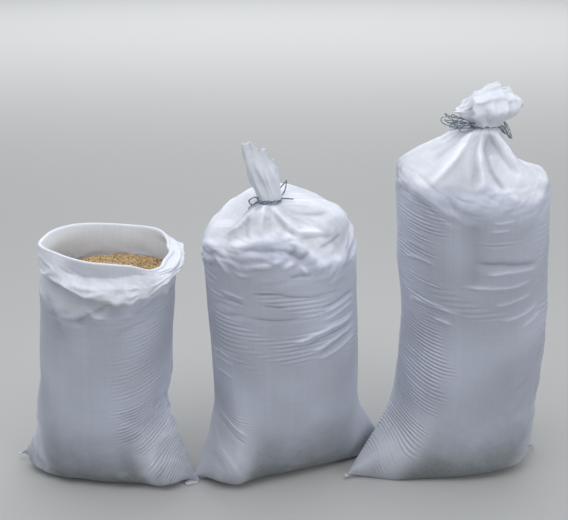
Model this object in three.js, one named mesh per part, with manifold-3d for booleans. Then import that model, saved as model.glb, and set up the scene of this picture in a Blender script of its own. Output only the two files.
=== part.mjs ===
// A row of three filled woven polypropylene sacks of grain, standing free and touching at their bottom corners.
// The small sack is open, with its mouth folded out into a collar. The medium and large sacks are tied at the neck.
// Millimetres, +X along the row, +Y to the back, +Z up. The floor is z = 0.
import * as THREE from "three";
import { mergeVertices } from "three/addons/utils/BufferGeometryUtils.js";
import Module from "manifold-3d";

const wasm = await Module();
wasm.setup();

// Driving dimensions.
const CLOTH = 1.6; // wall of a bag, thicker than the real cloth
const FIT_GAP = 0.5; // clearance between a bag and its fill, or between a neck and its tie
const COLUMNS = 36; // points round a ring
const SEAM_HALF_THICKNESS = 3;
const INNER_START = 0.2; // how far round the foot a bag's hollow begins

// Each sack stands on its sewn bottom seam, in its own frame: X runs along the seam, and -Y is the front.
// at and yaw place it in the row. lean gives the sideways drift of its centre line at a few heights.
// shoulder holds the heights where the walls turn in: right, left, front, back.
// cone is how far the top runs straight to the neck instead of doming, and puff is how much it swells on each side.
// fillTop is the last of its rows that the fill reaches.
// tuft is the cloth above the tie: its lean, its half widths and depths, and its rim's slant and droop at the sides.
// tie lists the cord's loops and loose ends, each with its direction in degrees from the right and its size.
// lift and flare hold how high each bottom corner's tip and its sweep reach: right, left.
const SMALL = {
  at: [-471.6, 1961],
  yaw: -11.5,
  halfSeam: 250,
  halfWidth: 168,
  front: 89,
  back: 196,
  footRadius: 42,
  footHeight: 134,
  lift: [4, 9],
  flare: [290, 130],
  shoulder: [600, 600, 592, 600],
  lean: [[0, 6], [150, -12], [300, -2], [520, 18], [640, 38]],
};
const MEDIUM = {
  at: [24, 2008],
  yaw: 19,
  halfSeam: 275,
  halfWidth: 193,
  front: 106,
  back: 206,
  footRadius: 46,
  footHeight: 146,
  lift: [16, 4],
  flare: [200, 230],
  shoulder: [618, 602, 556, 684],
  lean: [[0, 2], [300, -5], [640, -19]],
  neck: [-56, 18, 742],
  neckRadius: 26,
  cone: 0.08,
  puff: [12, 14, 4, 30],
  fillTop: 2.45,
  tuft: { height: 126, lean: [-25, 10], base: [26, 26], tip: [34, 18], slant: -12, droop: 0 },
  tie: { loops: [[195, 17]], tails: [[-20, 30]] },
};
const LARGE = {
  at: [431.1, 1992],
  yaw: 15,
  halfSeam: 275,
  halfWidth: 194,
  front: 106,
  back: 208,
  footRadius: 48,
  footHeight: 150,
  lift: [12, 4],
  flare: [130, 300],
  shoulder: [775, 815, 700, 790],
  lean: [[0, 0], [170, 62], [420, 70], [620, 54], [800, 42]],
  neck: [44, 8, 918],
  neckRadius: 28,
  cone: 0.5,
  puff: [8, 8, 0, 0],
  fillTop: 2.2,
  tuft: { height: 98, lean: [6, 4], base: [28, 28], tip: [72, 34], slant: 10, droop: 45 },
  tie: { loops: [[160, 44], [185, 36], [15, 30]], tails: [[-10, 26], [140, 34]] },
};
const COLLAR = {
  rim: { front: 642, back: 630 }, // height of the fold
  dips: [ // the fold's low stretches, to the front right and the back right
    { toward: 328, reach: 50, depth: 36 },
    { toward: 40, reach: 38, depth: 27 },
  ],
  bend: 8, // half of the fold's thickness
  hem: { front: 546, back: 586, side: 596 }, // height of the cut edge
  spread: { left: -7, right: 9, flare: 8 }, // how far the flap stands off the wall, and more at its hem
};
const GRAIN = { edge: 545, peak: 584, heapAt: [20, -10] }; // the open fill's level at the cloth, and its heap
const PLEATS = { count: 10, depth: 4, tuftDepth: 0.12 }; // the tuft's is a share of its outline
const CORD = { thickness: 3.2, turns: 2, tailRise: 3 };

const lerp = (a, b, t) => a + (b - a) * t;
const smooth = (a, b, x) => THREE.MathUtils.smoothstep(x, a, b);
const clamp01 = (x) => THREE.MathUtils.clamp(x, 0, 1);

// A smooth curve through [height, value] pairs.
function along(pairs, height) {
  let i = 0;
  while (i < pairs.length - 2 && height > pairs[i + 1][0]) i++;
  const [[h0, v0], [h1, v1]] = [pairs[i], pairs[i + 1]];
  return lerp(v0, v1, smooth(h0, h1, height));
}

// The dome from a shoulder to the neck: swing is 0 at the shoulder and a quarter turn at the neck.
function dome(sack, edge, which, neckEdge, swing) {
  const inward = Math.cos(swing);
  const rise = lerp(Math.sin(swing), (1 - inward) ** 1.6, sack.cone);
  const bulge = sack.puff[which] * Math.sin(2 * swing);
  return [lerp(neckEdge, edge, inward), lerp(sack.shoulder[which], sack.neck[2], rise) + bulge];
}

// The right (+1) or left (-1) edge of a sack. u runs 0 to 1 over the foot, to 2 up the body and to 3 over the dome.
function sideEdge(sack, side, u) {
  const which = side > 0 ? 0 : 1;
  const [lift, flare, shoulder] = [sack.lift[which], sack.flare[which], sack.shoulder[which]];
  const body = (z) => {
    const sweep = (1 - clamp01((z - lift) / (flare - lift))) ** 1.8;
    return along(sack.lean, z) + side * lerp(sack.halfWidth, sack.halfSeam, sweep);
  };
  if (u > 2) {
    const neckEdge = sack.neck[0] + side * sack.neckRadius;
    return dome(sack, body(shoulder), which, neckEdge, ((u - 2) * Math.PI) / 2);
  }
  const z = u < 1 ? lerp(lift, sack.footHeight, u) : lerp(sack.footHeight, shoulder, u - 1);
  return [body(z), z];
}

// The front (-1) or back (+1) edge: along the floor from the seam, round the foot, then up.
function faceEdge(sack, side, u) {
  const which = side > 0 ? 3 : 2;
  const depth = side > 0 ? sack.back : sack.front;
  if (u > 2) {
    const neckEdge = sack.neck[1] + side * sack.neckRadius;
    return dome(sack, side * depth, which, neckEdge, ((u - 2) * Math.PI) / 2);
  }
  if (u > 1) return [side * depth, lerp(sack.footRadius, sack.shoulder[which], u - 1)];
  const run = depth - sack.footRadius;
  const path = u * (run + (sack.footRadius * Math.PI) / 2);
  const turn = Math.max(0, (path - run) / sack.footRadius);
  const out = Math.min(path, run) + sack.footRadius * Math.sin(turn);
  return [side * Math.max(out, SEAM_HALF_THICKNESS), sack.footRadius * (1 - Math.cos(turn))];
}

// A point of a sack's outer surface, before its pleats.
function skin(sack, u, angle) {
  const [right, left] = [sideEdge(sack, 1, u), sideEdge(sack, -1, u)];
  const [front, back] = [faceEdge(sack, -1, u), faceEdge(sack, 1, u)];
  const squareness = lerp(2.6, 2.3, smooth(0, 0.6, u)) - 0.3 * smooth(1.6, 2.4, u);
  const rounded = (x) => Math.sign(x) * Math.abs(x) ** (2 / squareness);
  const across = rounded(Math.cos(angle));
  const away = rounded(Math.sin(angle));
  const between = (low, high, t) => (low + high) / 2 + ((high - low) / 2) * t;
  const sideHeight = between(left[1], right[1], across);
  const faceHeight = between(front[1], back[1], away);
  const towardsSide = lerp(smooth(0.76, 1, Math.abs(across)), across ** 2, smooth(0.3, 1.2, u));
  return new THREE.Vector3(
    between(left[0], right[0], across),
    between(front[0], back[0], away),
    Math.max(0, lerp(faceHeight, sideHeight, towardsSide)),
  );
}

// The outward normal of the skin, from its two directions.
function skinNormal(sack, u, angle) {
  const [turn, climb] = [1e-3, 0.03];
  const [low, high] = [Math.max(u - climb, 0), Math.min(u + climb, sack.neck ? 3 : 2)];
  const round = skin(sack, u, angle + turn).sub(skin(sack, u, angle - turn));
  const up = skin(sack, high, angle).sub(skin(sack, low, angle));
  return round.cross(up).normalize();
}

const ANGLES = Array.from({ length: COLUMNS }, (_, i) => (i * 2 * Math.PI) / COLUMNS);

// One ring of the skin, set inwards by depth. The dome's pleats deepen towards the neck.
function skinRing(sack, u, depth = 0) {
  return ANGLES.map((angle) => {
    const pleat = PLEATS.depth * smooth(2.1, 2.9, u) * Math.cos(PLEATS.count * angle);
    return skin(sack, u, angle).addScaledVector(skinNormal(sack, u, angle), pleat - depth);
  });
}

const span = (from, to, steps) => Array.from({ length: steps + 1 }, (_, i) => lerp(from, to, i / steps));

// A closed solid through rings of COLUMNS points. The first ring is closed flat from front to back, as a seam is.
// The last ring is closed the same way, or with a fan to a point where one is given. Rising and falling walls cut
// their quads along the same diagonal, so that a cloth's two sides stay parallel.
function loft(rings, peak) {
  const positions = rings.flat().flatMap((p) => [p.x, p.y, p.z]);
  const faces = [];
  const at = (ring, column) => ring * COLUMNS + (column % COLUMNS);
  for (let ring = 0; ring < rings.length - 1; ring++)
    for (let column = 0; column < COLUMNS; column++) {
      const [a, b] = [at(ring, column), at(ring, column + 1)];
      const [c, d] = [at(ring + 1, column + 1), at(ring + 1, column)];
      const rising = rings[ring + 1][0].z > rings[ring][0].z;
      faces.push(...(rising ? [a, b, c, a, c, d] : [a, b, d, b, c, d]));
    }
  const seam = (ring, flip) => {
    for (let column = 0; column < COLUMNS / 2; column++) {
      const [a, b] = [at(ring, column), at(ring, column + 1)];
      const [c, d] = [at(ring, COLUMNS - column - 1), at(ring, COLUMNS - column)];
      for (const [p, q, r] of [[a, b, c], [a, c, d]])
        if (p !== q && q !== r && p !== r) faces.push(p, flip ? r : q, flip ? q : r);
    }
  };
  seam(0, true);
  const last = rings.length - 1;
  if (peak) {
    const tip = positions.length / 3;
    positions.push(peak.x, peak.y, peak.z);
    for (let column = 0; column < COLUMNS; column++) faces.push(tip, at(last, column), at(last, column + 1));
  } else seam(last, false);
  const geometry = new THREE.BufferGeometry();
  geometry.setAttribute("position", new THREE.Float32BufferAttribute(positions, 3));
  geometry.setIndex(faces);
  return geometry;
}

const FOOT_ROWS = [0, 0.2, 0.4, 0.58, 0.72, 0.86, 1];
const BODY_ROWS = span(1, 2, 6).slice(1);
const DOME_ROWS = [2.22, 2.44, 2.66, 2.84, 3];

// An oval ring about the tied neck, at a share of the tuft's height, shrunk to a share of its outline.
function tuftRing(sack, rise, share) {
  const { height, lean, base, tip, slant, droop } = sack.tuft;
  const spread = smooth(0.08, 0.8, rise);
  const [wide, deep] = [lerp(base[0], tip[0], spread), lerp(base[1], tip[1], spread)];
  return ANGLES.map((angle) => {
    const pleat = lerp(PLEATS.depth / sack.neckRadius, PLEATS.tuftDepth, spread);
    const fold = 1 + pleat * Math.cos(PLEATS.count * angle);
    const across = Math.cos(angle);
    const top = height + slant * across - droop * across ** 2;
    return new THREE.Vector3(
      sack.neck[0] + lean[0] * rise + wide * fold * share * across,
      sack.neck[1] + lean[1] * rise + deep * fold * share * Math.sin(angle),
      sack.neck[2] + lerp(height, top, spread) * rise,
    );
  });
}

// A tied bag is one cloth: the body, the gathered neck and the open tuft above it, with its hollow reaching up
// through the neck.
function tiedBag(sack) {
  const outside = [...FOOT_ROWS, ...BODY_ROWS, ...DOME_ROWS].map((u) => skinRing(sack, u));
  const tuft = [0.12, 0.35, 0.7, 1].map((rise) => tuftRing(sack, rise, 1));
  const throat = [1, 0.7, 0.35, 0.12, 0].map((rise) => tuftRing(sack, rise, lerp(0.25, 0.86, rise)));
  const inside = [...FOOT_ROWS.slice(1), ...BODY_ROWS, ...DOME_ROWS.slice(0, -1)].reverse();
  const wall = inside.map((u) => skinRing(sack, Math.max(u, INNER_START), CLOTH));
  return loft([...outside, ...tuft, ...throat, ...wall]);
}

// The rings of the collar, from the wall's top round the fold, down the flap to its hem and back up over the rim.
function collarRings(sack) {
  const wall = (angle, out, height) => {
    const p = skin(sack, 2, angle);
    const n = skinNormal(sack, 1.99, angle);
    const flat = Math.hypot(n.x, n.y);
    return new THREE.Vector3(p.x + (n.x / flat) * out, p.y + (n.y / flat) * out, height);
  };
  const { rim, dips, bend, hem, spread } = COLLAR;
  const fall = (angle, { toward, reach, depth }) => {
    const turned = THREE.MathUtils.radToDeg(angle) - toward;
    const away = THREE.MathUtils.euclideanModulo(turned + 180, 360) - 180;
    return depth * (1 - smooth(0, reach, Math.abs(away)));
  };
  const rimHeight = (angle) => {
    const level = lerp(rim.front, rim.back, (1 + Math.sin(angle)) / 2);
    return dips.reduce((height, dip) => height - fall(angle, dip), level);
  };
  const hemHeight = (angle) => {
    const face = Math.sin(angle) < 0 ? hem.front : hem.back;
    return lerp(hem.side, face, Math.sin(angle) ** 2);
  };
  const stand = (angle) => 2 * bend + lerp(spread.left, spread.right, (1 + Math.cos(angle)) / 2);
  const roll = (out, drop) => ANGLES.map((angle) => wall(angle, out, rimHeight(angle) - drop));
  const flap = (out) => ANGLES.map((angle) => wall(angle, stand(angle) + out, rimHeight(angle) - 3 * bend));
  const edge = (out) => ANGLES.map((angle) => wall(angle, stand(angle) + spread.flare + out, hemHeight(angle)));
  return [
    roll(0, 3 * bend),
    roll(bend, CLOTH + bend / 2),
    flap(0),
    edge(0),
    edge(CLOTH),
    flap(CLOTH),
    roll(bend, 0),
    roll(-CLOTH, bend),
  ];
}

function openBag(sack) {
  const outside = [...FOOT_ROWS, ...BODY_ROWS].map((u) => skinRing(sack, u));
  const inside = [...FOOT_ROWS.slice(1), ...BODY_ROWS].reverse();
  const wall = inside.map((u) => skinRing(sack, Math.max(u, INNER_START), CLOTH));
  return loft([...outside, ...collarRings(sack), ...wall]);
}

// The fill of a tied bag, up to a low crown.
function closedFill(sack) {
  const rows = [...FOOT_ROWS.slice(2), ...BODY_ROWS, ...DOME_ROWS.filter((u) => u <= sack.fillTop)];
  const rings = rows.map((u) => skinRing(sack, u, CLOTH + FIT_GAP));
  const rim = rings.at(-1);
  const middle = rim.reduce((sum, p) => sum.add(p), new THREE.Vector3()).divideScalar(COLUMNS);
  return loft(rings, middle);
}

// The fill of the open bag, heaped towards the front.
function openFill(sack) {
  const all = [...FOOT_ROWS.slice(2), ...BODY_ROWS].map((u) => skinRing(sack, u, CLOTH + FIT_GAP));
  const rings = all.slice(0, -1);
  const [below, above] = all.slice(-2);
  const edge = below.map((p, i) => p.clone().lerp(above[i], (GRAIN.edge - p.z) / (above[i].z - p.z)));
  const peak = new THREE.Vector3(...GRAIN.heapAt, GRAIN.peak);
  const slope = edge.map((p) => p.clone().lerp(peak, 0.35).setZ(lerp(GRAIN.edge, GRAIN.peak, 0.45)));
  const crown = edge.map((p) => p.clone().lerp(peak, 0.72).setZ(lerp(GRAIN.edge, GRAIN.peak, 0.88)));
  return loft([...rings, edge, slope, crown], peak);
}

// Geometry to a solid that can be joined, and back.
function solid(geometry) {
  const bare = new THREE.BufferGeometry().setAttribute("position", geometry.getAttribute("position"));
  if (geometry.index) bare.setIndex(geometry.index);
  const merged = mergeVertices(bare, 1e-4);
  const mesh = new wasm.Mesh({
    numProp: 3,
    vertProperties: merged.attributes.position.array,
    triVerts: new Uint32Array(merged.index.array),
  });
  return new wasm.Manifold(mesh);
}
function geometryOf(joined) {
  const mesh = joined.getMesh();
  const geometry = new THREE.BufferGeometry();
  geometry.setAttribute("position", new THREE.BufferAttribute(mesh.vertProperties, 3));
  geometry.setIndex(new THREE.BufferAttribute(mesh.triVerts, 1));
  return geometry;
}

// A round cord along a curve.
function cordAlong(points, steps) {
  const section = new THREE.Shape().absarc(0, 0, CORD.thickness / 2, 0, 2 * Math.PI);
  const path = new THREE.CatmullRomCurve3(points);
  return new THREE.ExtrudeGeometry(section, { steps, extrudePath: path, curveSegments: 4 });
}

// The cord turned round the neck, with the bow loops and loose ends that its knots leave.
function tie(sack) {
  const clear = sack.neckRadius + PLEATS.depth + FIT_GAP;
  const radius = clear / Math.cos(Math.PI / COLUMNS) + CORD.thickness / 2;
  const level = PLEATS.depth + CORD.thickness;
  const { lean, height } = sack.tuft;
  const centre = (z) => new THREE.Vector3((lean[0] * z) / height, (lean[1] * z) / height, z);
  const turns = Array.from({ length: CORD.turns }, (_, i) => {
    const middle = centre(level + i * CORD.thickness * 0.8);
    return new THREE.TorusGeometry(radius, CORD.thickness / 2, 6, COLUMNS).translate(...middle.toArray());
  });
  const outwards = (degrees, distance, rise = 0) => {
    const angle = THREE.MathUtils.degToRad(degrees);
    const out = new THREE.Vector3(Math.cos(angle), Math.sin(angle), 0).multiplyScalar(distance);
    return centre(level).add(out).setZ(level + rise);
  };
  const loops = sack.tie.loops.map(([degrees, length]) => {
    const middle = outwards(degrees, radius + length * 0.45, length * 0.1);
    return new THREE.TorusGeometry(length / 2, CORD.thickness / 2, 6, 16)
      .scale(1, 0.6, 1)
      .rotateX(Math.PI / 3)
      .rotateZ(THREE.MathUtils.degToRad(degrees))
      .translate(middle.x, middle.y, middle.z);
  });
  const tails = sack.tie.tails.map(([degrees, reach]) => {
    const crest = outwards(degrees, radius + reach / 2, CORD.tailRise);
    return cordAlong([outwards(degrees, radius), crest, outwards(degrees, radius + reach)], 6);
  });
  const pieces = [...turns, ...loops, ...tails].map(solid);
  return geometryOf(pieces.reduce((all, next) => all.add(next)));
}

const WOVEN_WHITE = new THREE.MeshStandardMaterial({ color: 0xe3e5ee, roughness: 0.6, metalness: 0 });
const WHEAT = new THREE.MeshStandardMaterial({ color: 0xc79a5b, roughness: 0.8, metalness: 0 });
const BLUE_TWINE = new THREE.MeshStandardMaterial({ color: 0x44566f, roughness: 0.7, metalness: 0 });

const row = new THREE.Group();

function standing(sack) {
  const group = new THREE.Group();
  group.position.set(sack.at[0], sack.at[1], 0);
  group.rotation.z = THREE.MathUtils.degToRad(sack.yaw);
  row.add(group);
  return group;
}
function addTo(group, name, geometry, material) {
  const mesh = new THREE.Mesh(geometry, material);
  mesh.name = name;
  group.add(mesh);
  return mesh;
}

const small = standing(SMALL);
addTo(small, "small_bag", openBag(SMALL), WOVEN_WHITE);
addTo(small, "small_grain", openFill(SMALL), WHEAT);

for (const [name, sack] of [["medium", MEDIUM], ["large", LARGE]]) {
  const group = standing(sack);
  addTo(group, name + "_bag", tiedBag(sack), WOVEN_WHITE);
  addTo(group, name + "_grain", closedFill(sack), WHEAT);
  const cord = addTo(group, name + "_tie", tie(sack), BLUE_TWINE);
  cord.position.set(...sack.neck);
}

// The row's origin is the middle of its footprint.
const bounds = new THREE.Box3().setFromObject(row, true);
row.position.set(-(bounds.min.x + bounds.max.x) / 2, -(bounds.min.y + bounds.max.y) / 2, 0);

export default row;
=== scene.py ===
import math
from types import SimpleNamespace

import bpy
import numpy as np
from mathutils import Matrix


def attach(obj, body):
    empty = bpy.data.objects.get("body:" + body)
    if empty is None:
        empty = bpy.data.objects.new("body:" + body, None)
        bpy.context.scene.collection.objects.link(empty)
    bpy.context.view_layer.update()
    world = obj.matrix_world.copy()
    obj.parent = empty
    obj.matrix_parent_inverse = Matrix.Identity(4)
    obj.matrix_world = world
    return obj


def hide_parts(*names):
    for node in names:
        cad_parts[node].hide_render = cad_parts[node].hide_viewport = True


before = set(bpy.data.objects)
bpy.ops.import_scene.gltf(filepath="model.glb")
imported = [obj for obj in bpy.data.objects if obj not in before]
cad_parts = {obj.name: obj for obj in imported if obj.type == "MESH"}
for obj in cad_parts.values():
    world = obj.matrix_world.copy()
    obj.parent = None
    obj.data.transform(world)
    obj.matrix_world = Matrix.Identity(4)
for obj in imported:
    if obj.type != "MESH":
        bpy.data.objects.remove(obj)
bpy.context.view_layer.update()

CLOTH = 0.0012  # the cloth's thickness where both of its sides show
COLUMNS = 220  # points round a sack
INNER_STEP, DOME_STEP = 20, 8  # rows between two rows of a bag's hidden inside, in its body and in its dome
HIDDEN_TOP = 12  # how many rows below a tied bag's neck its hidden inside ends
LINING = 0.006  # how far inside a bag its hidden inner wall lies
FILL_GAP, HEAP_GAP = 0.003, 0.0015  # how far inside that wall the wheat of a tied and the open bag lies
WALL_THICKENS = (0.53, 0.46)  # the heights, downwards, over which the open bag's wall gains its lining
SHOWN_SHARE = 0.78  # the share of the open bag's rows below the ones that show inside its mouth
SEAM_HALF_THICKNESS = 0.003
TAPE = 0.0026  # width of the tapes that the cloth is woven from
# FULL_CREASE and FINE_TONE set the painted shade in crease valleys and the painted highlight on their
# ridges.
FULL_CREASE = 0.006  # the height of a crease that the cloth's finish takes as 1
FINE_TONE = 2.5  # how much more the small tight creases count in the finish than the large loose ones
FOOT_SQUARENESS, BODY_SQUARENESS, DOME_ROUNDER = 3.6, 2.3, 0.3  # how square a sack's outline is from above
LATTICE = 64  # rows of random numbers in a pattern, and their columns where nothing else is asked for
REGAINED = 2.4  # what brings random numbers back to about -1 to 1 after smoothing
ROUNDING = 14  # half degrees on either side over which a closed curve is smoothed
RANDOM_PHASE = 6.28  # the most that a random phase can be, in radians
UP = np.array([0.0, 0.0, 1.0])

# Each sack stands on its sewn bottom seam, in its own frame: X runs along the seam, and -Y is the front.
# These are the solids' own dimensions, with the feet and the lean trued to the photo. Pairs are right, left,
# and fours are right, left, front, back. shoulder_line is where the fill ends under the cloth: (degrees from
# the right ear, row). toe is how far the foot stands out in front: (degrees, metres).
SMALL = SimpleNamespace(
    name="small", at=(-0.4649, -0.0670), yaw=-11.5, half_seam=0.250, half_width=0.168, front=0.089,
    back=0.196, foot_radius=0.042, foot_height=0.134, lift=(0.004, 0.024), flare=(0.230, 0.122),
    shoulder=(0.600, 0.600, 0.592, 0.600), neck=None, rows=(72, 330),
    lean=((0, 0.006), (0.105, -0.018), (0.19, -0.019), (0.300, 0.001), (0.520, 0.018), (0.640, 0.038)),
    shoulder_line=((0, 1.86), (90, 1.88), (180, 1.88), (262, 1.84), (300, 1.86), (360, 1.86)),
    toe=((180, 0), (205, 0.004), (222, 0.008), (248, 0.004), (262, -0.012), (280, -0.013), (297, -0.010),
         (312, 0.006), (325, 0.022), (350, 0)),
)
MEDIUM = SimpleNamespace(
    name="medium", at=(0.0307, -0.0200), yaw=19, half_seam=0.275, half_width=0.193, front=0.106,
    back=0.206, foot_radius=0.046, foot_height=0.146, lift=(0.016, 0.004), flare=(0.200, 0.190),
    shoulder=(0.628, 0.612, 0.556, 0.684), lean=((0, -0.008), (0.080, 0), (0.300, -0.005), (0.640, -0.019)),
    neck=(-0.056, 0.018, 0.742), neck_radius=0.026, cone=0.08, puff=(0.012, 0.014, 0.004, 0.030),
    rows=(70, 320, 96),
    shoulder_line=((-34, 2.14), (0, 2.1), (60, 2.16), (120, 2.16), (179, 2.14), (210, 2.2), (232, 2.32),
                   (248, 2.4), (268, 2.41), (286, 2.2), (304, 2.12), (326, 2.14), (360, 2.1)),
    toe=((180, 0), (200, 0.026), (212, 0.042), (222, 0.026), (236, 0.002), (252, -0.020), (272, -0.030),
         (288, -0.020), (308, -0.004), (330, 0)),
)
LARGE = SimpleNamespace(
    name="large", at=(0.4378, -0.0360), yaw=15, half_seam=0.275, half_width=0.1885, front=0.106,
    back=0.208, foot_radius=0.048, foot_height=0.150, lift=(0.010, 0.018), flare=(0.105, 0.240),
    shoulder=(0.773, 0.821, 0.728, 0.790),
    lean=((0, -0.003), (0.150, 0.0745), (0.420, 0.0785), (0.620, 0.0565), (0.800, 0.042)),
    neck=(0.044, 0.008, 0.923), neck_radius=0.028, cone=0.5, puff=(0.008, 0.012, 0, 0),
    rows=(70, 380, 84),
    shoulder_line=((-47, 2.14), (0, 2.04), (60, 2.1), (120, 2.1), (180, 1.97), (197, 1.96), (218, 2.0),
                   (236, 2.15), (251, 2.26), (264, 2.34), (276, 2.34), (288, 2.20), (313, 2.12),
                   (360, 2.04)),
    toe=((180, 0), (205, 0), (222, -0.002), (245, -0.012), (262, -0.010), (285, 0), (305, 0.012),
         (325, 0.012), (350, 0)),
)
# The small sack's mouth, folded outwards into a collar. Each curve runs round the mouth in (degrees, metres)
# pairs: the fold's height, half its thickness, how far the wall under it leans out, the flap's cut edge and
# how far that stands off the wall. The cloth bunches up at the right, round bunch's degrees. In front, from
# the first pair of degrees in under to the second, the flap tucks in under the fold, to tuck off the wall,
# and flares out below the share kink of its length.
COLLAR = SimpleNamespace(
    rim=((0, 0.613), (20, 0.612), (36, 0.616), (52, 0.628), (66, 0.633), (90, 0.632), (115, 0.634),
         (140, 0.640), (180, 0.641), (215, 0.648), (238, 0.652), (262, 0.647), (285, 0.641), (303, 0.630),
         (322, 0.606), (340, 0.602)),
    bend=((0, 0.0040), (30, 0.0038), (60, 0.0030), (120, 0.0028), (180, 0.0044), (225, 0.0036),
          (262, 0.0026), (310, 0.0027), (335, 0.0036)),
    lean=((0, -0.034), (30, -0.027), (58, -0.004), (90, 0), (130, -0.002), (180, 0.003), (205, 0.004),
          (225, 0.000), (270, 0), (312, -0.004), (332, -0.016), (345, -0.028)),
    hem=((0, 0.588), (30, 0.600), (45, 0.602), (90, 0.592), (135, 0.592), (180, 0.608), (205, 0.610),
         (225, 0.608), (240, 0.598), (255, 0.580), (268, 0.560), (285, 0.545), (300, 0.543), (320, 0.555),
         (340, 0.576)),
    stand=((0, 0.010), (20, 0.014), (45, 0.026), (90, 0.018), (150, 0.014), (180, 0.004), (205, 0.008),
           (222, 0.022), (240, 0.036), (262, 0.038), (300, 0.036), (325, 0.026), (345, 0.012)),
    kink=((230, 0.55), (262, 0.52), (275, 0.46), (292, 0.37), (305, 0.28), (317, 0.18), (330, 0.12),
          (0, 0.3)),
    bunch=(4, 34), tuck=0.006, under=((246, 264), (308, 326)),
)
# The heap of wheat in that mouth. Its edge runs round the mouth in (degrees, metres) pairs. Below core_top
# the wheat doesn't show. lump is how wide the low lumps on the heap are, and how high.
HEAP = SimpleNamespace(
    edge=((0, 0.556), (90, 0.550), (140, 0.538), (180, 0.528), (225, 0.532), (270, 0.545)), peak=0.584,
    at=(0.034, -0.006), core_top=0.470, lump=(0.012, 0.0011), rows=46, side_rows=18,
)


def lerp(low, high, share):
    return low + (high - low) * share


def smooth(low, high, x):
    t = np.clip((x - low) / (high - low), 0, 1)
    return t * t * (3 - 2 * t)


def uneven(across, up, seed, wrap=LATTICE):
    """Smooth random heights, mostly from -1 to 1, one bump to a unit, repeating after wrap units across."""
    lattice = np.random.default_rng(seed).uniform(-1, 1, (LATTICE, wrap))
    across, up = np.broadcast_arrays(across, up)
    column, row = np.floor(across).astype(int), np.floor(up).astype(int)

    def weights(t):
        s = 1 - t
        return s**3 / 6, (3 * t**3 - 6 * t**2 + 4) / 6, (3 * s**3 - 6 * s**2 + 4) / 6, t**3 / 6

    total = 0
    for i, high in enumerate(weights(up - row)):
        for j, wide in enumerate(weights(across - column)):
            total = total + high * wide * lattice[(row + i - 1) % LATTICE, (column + j - 1) % wrap]
    return REGAINED * total


def wavy(turns, cells, up, seed):
    """Smooth random heights that close on themselves round a ring, with a number of bumps round it."""
    return uneven(turns * cells, up, seed, cells)


def along(pairs, height):
    """A smooth curve through (height, value) pairs."""
    value = pairs[0][1]
    for (low, before), (high, after) in zip(pairs, pairs[1:]):
        value = value + (after - before) * smooth(low, high, height)
    return value


def round_curve(pairs, angle):
    """A smooth closed curve through (degrees, value) pairs."""
    spots = np.arange(720) / 2
    table = np.interp(spots, [p[0] for p in pairs], [p[1] for p in pairs], period=360)
    window = np.hanning(2 * ROUNDING + 1)
    closed = np.concatenate([table[-ROUNDING:], table, table[:ROUNDING]])
    table = np.convolve(closed, window / window.sum(), "valid")
    return np.interp(np.degrees(angle) % 360, spots, table, period=360)


def degrees_from(angle, toward):
    """How far an angle is from a direction in degrees, signed."""
    return (np.degrees(angle) - toward + 180) % 360 - 180


# The sack's shape. u runs 0 to 1 over the foot, to 2 up the body and to 3 over the dome.
def dome(sack, edge, which, neck_edge, swing):
    inward = np.cos(swing)
    rise = lerp(np.sin(swing), (1 - inward) ** 1.6, sack.cone)
    bulge = sack.puff[which] * np.sin(2 * swing)
    return lerp(neck_edge, edge, inward), lerp(sack.shoulder[which], sack.neck[2], rise) + bulge


def side_edge(sack, side, u):
    """The right (+1) or left (-1) edge of a sack: across, and height."""
    which = 0 if side > 0 else 1
    lift, flare, shoulder = sack.lift[which], sack.flare[which], sack.shoulder[which]

    def body(z):
        sweep = np.clip(1 - np.clip((z - lift) / (flare - lift), 0, 1), 0, 1) ** 1.8
        return along(sack.lean, z) + side * lerp(sack.half_width, sack.half_seam, sweep)

    z = np.where(u < 1, lerp(lift, sack.foot_height, u), lerp(sack.foot_height, shoulder, u - 1))
    if sack.neck is None:
        return body(z), z
    swing = np.clip(u - 2, 0, 1) * math.pi / 2
    over = dome(sack, body(shoulder), which, sack.neck[0] + side * sack.neck_radius, swing)
    return np.where(u > 2, over[0], body(z)), np.where(u > 2, over[1], z)


def face_edge(sack, side, u):
    """The front (-1) or back (+1) edge: along the floor from the seam, round the foot, then up."""
    which, depth = (3, sack.back) if side > 0 else (2, sack.front)
    run = depth - sack.foot_radius
    path = np.clip(u, 0, 1) * (run + sack.foot_radius * math.pi / 2)
    turn = np.clip((path - run) / sack.foot_radius, 0, math.pi / 2)
    out = np.minimum(path, run) + sack.foot_radius * np.sin(turn)
    y = side * np.maximum(out, SEAM_HALF_THICKNESS)
    climb = lerp(sack.foot_radius, sack.shoulder[which], u - 1)
    z = np.where(u < 1, sack.foot_radius * (1 - np.cos(turn)), climb)
    if sack.neck is None:
        return y, z
    swing = np.clip(u - 2, 0, 1) * math.pi / 2
    over = dome(sack, side * depth, which, sack.neck[1] + side * sack.neck_radius, swing)
    return np.where(u > 2, over[0], y), np.where(u > 2, over[1], z)


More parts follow.
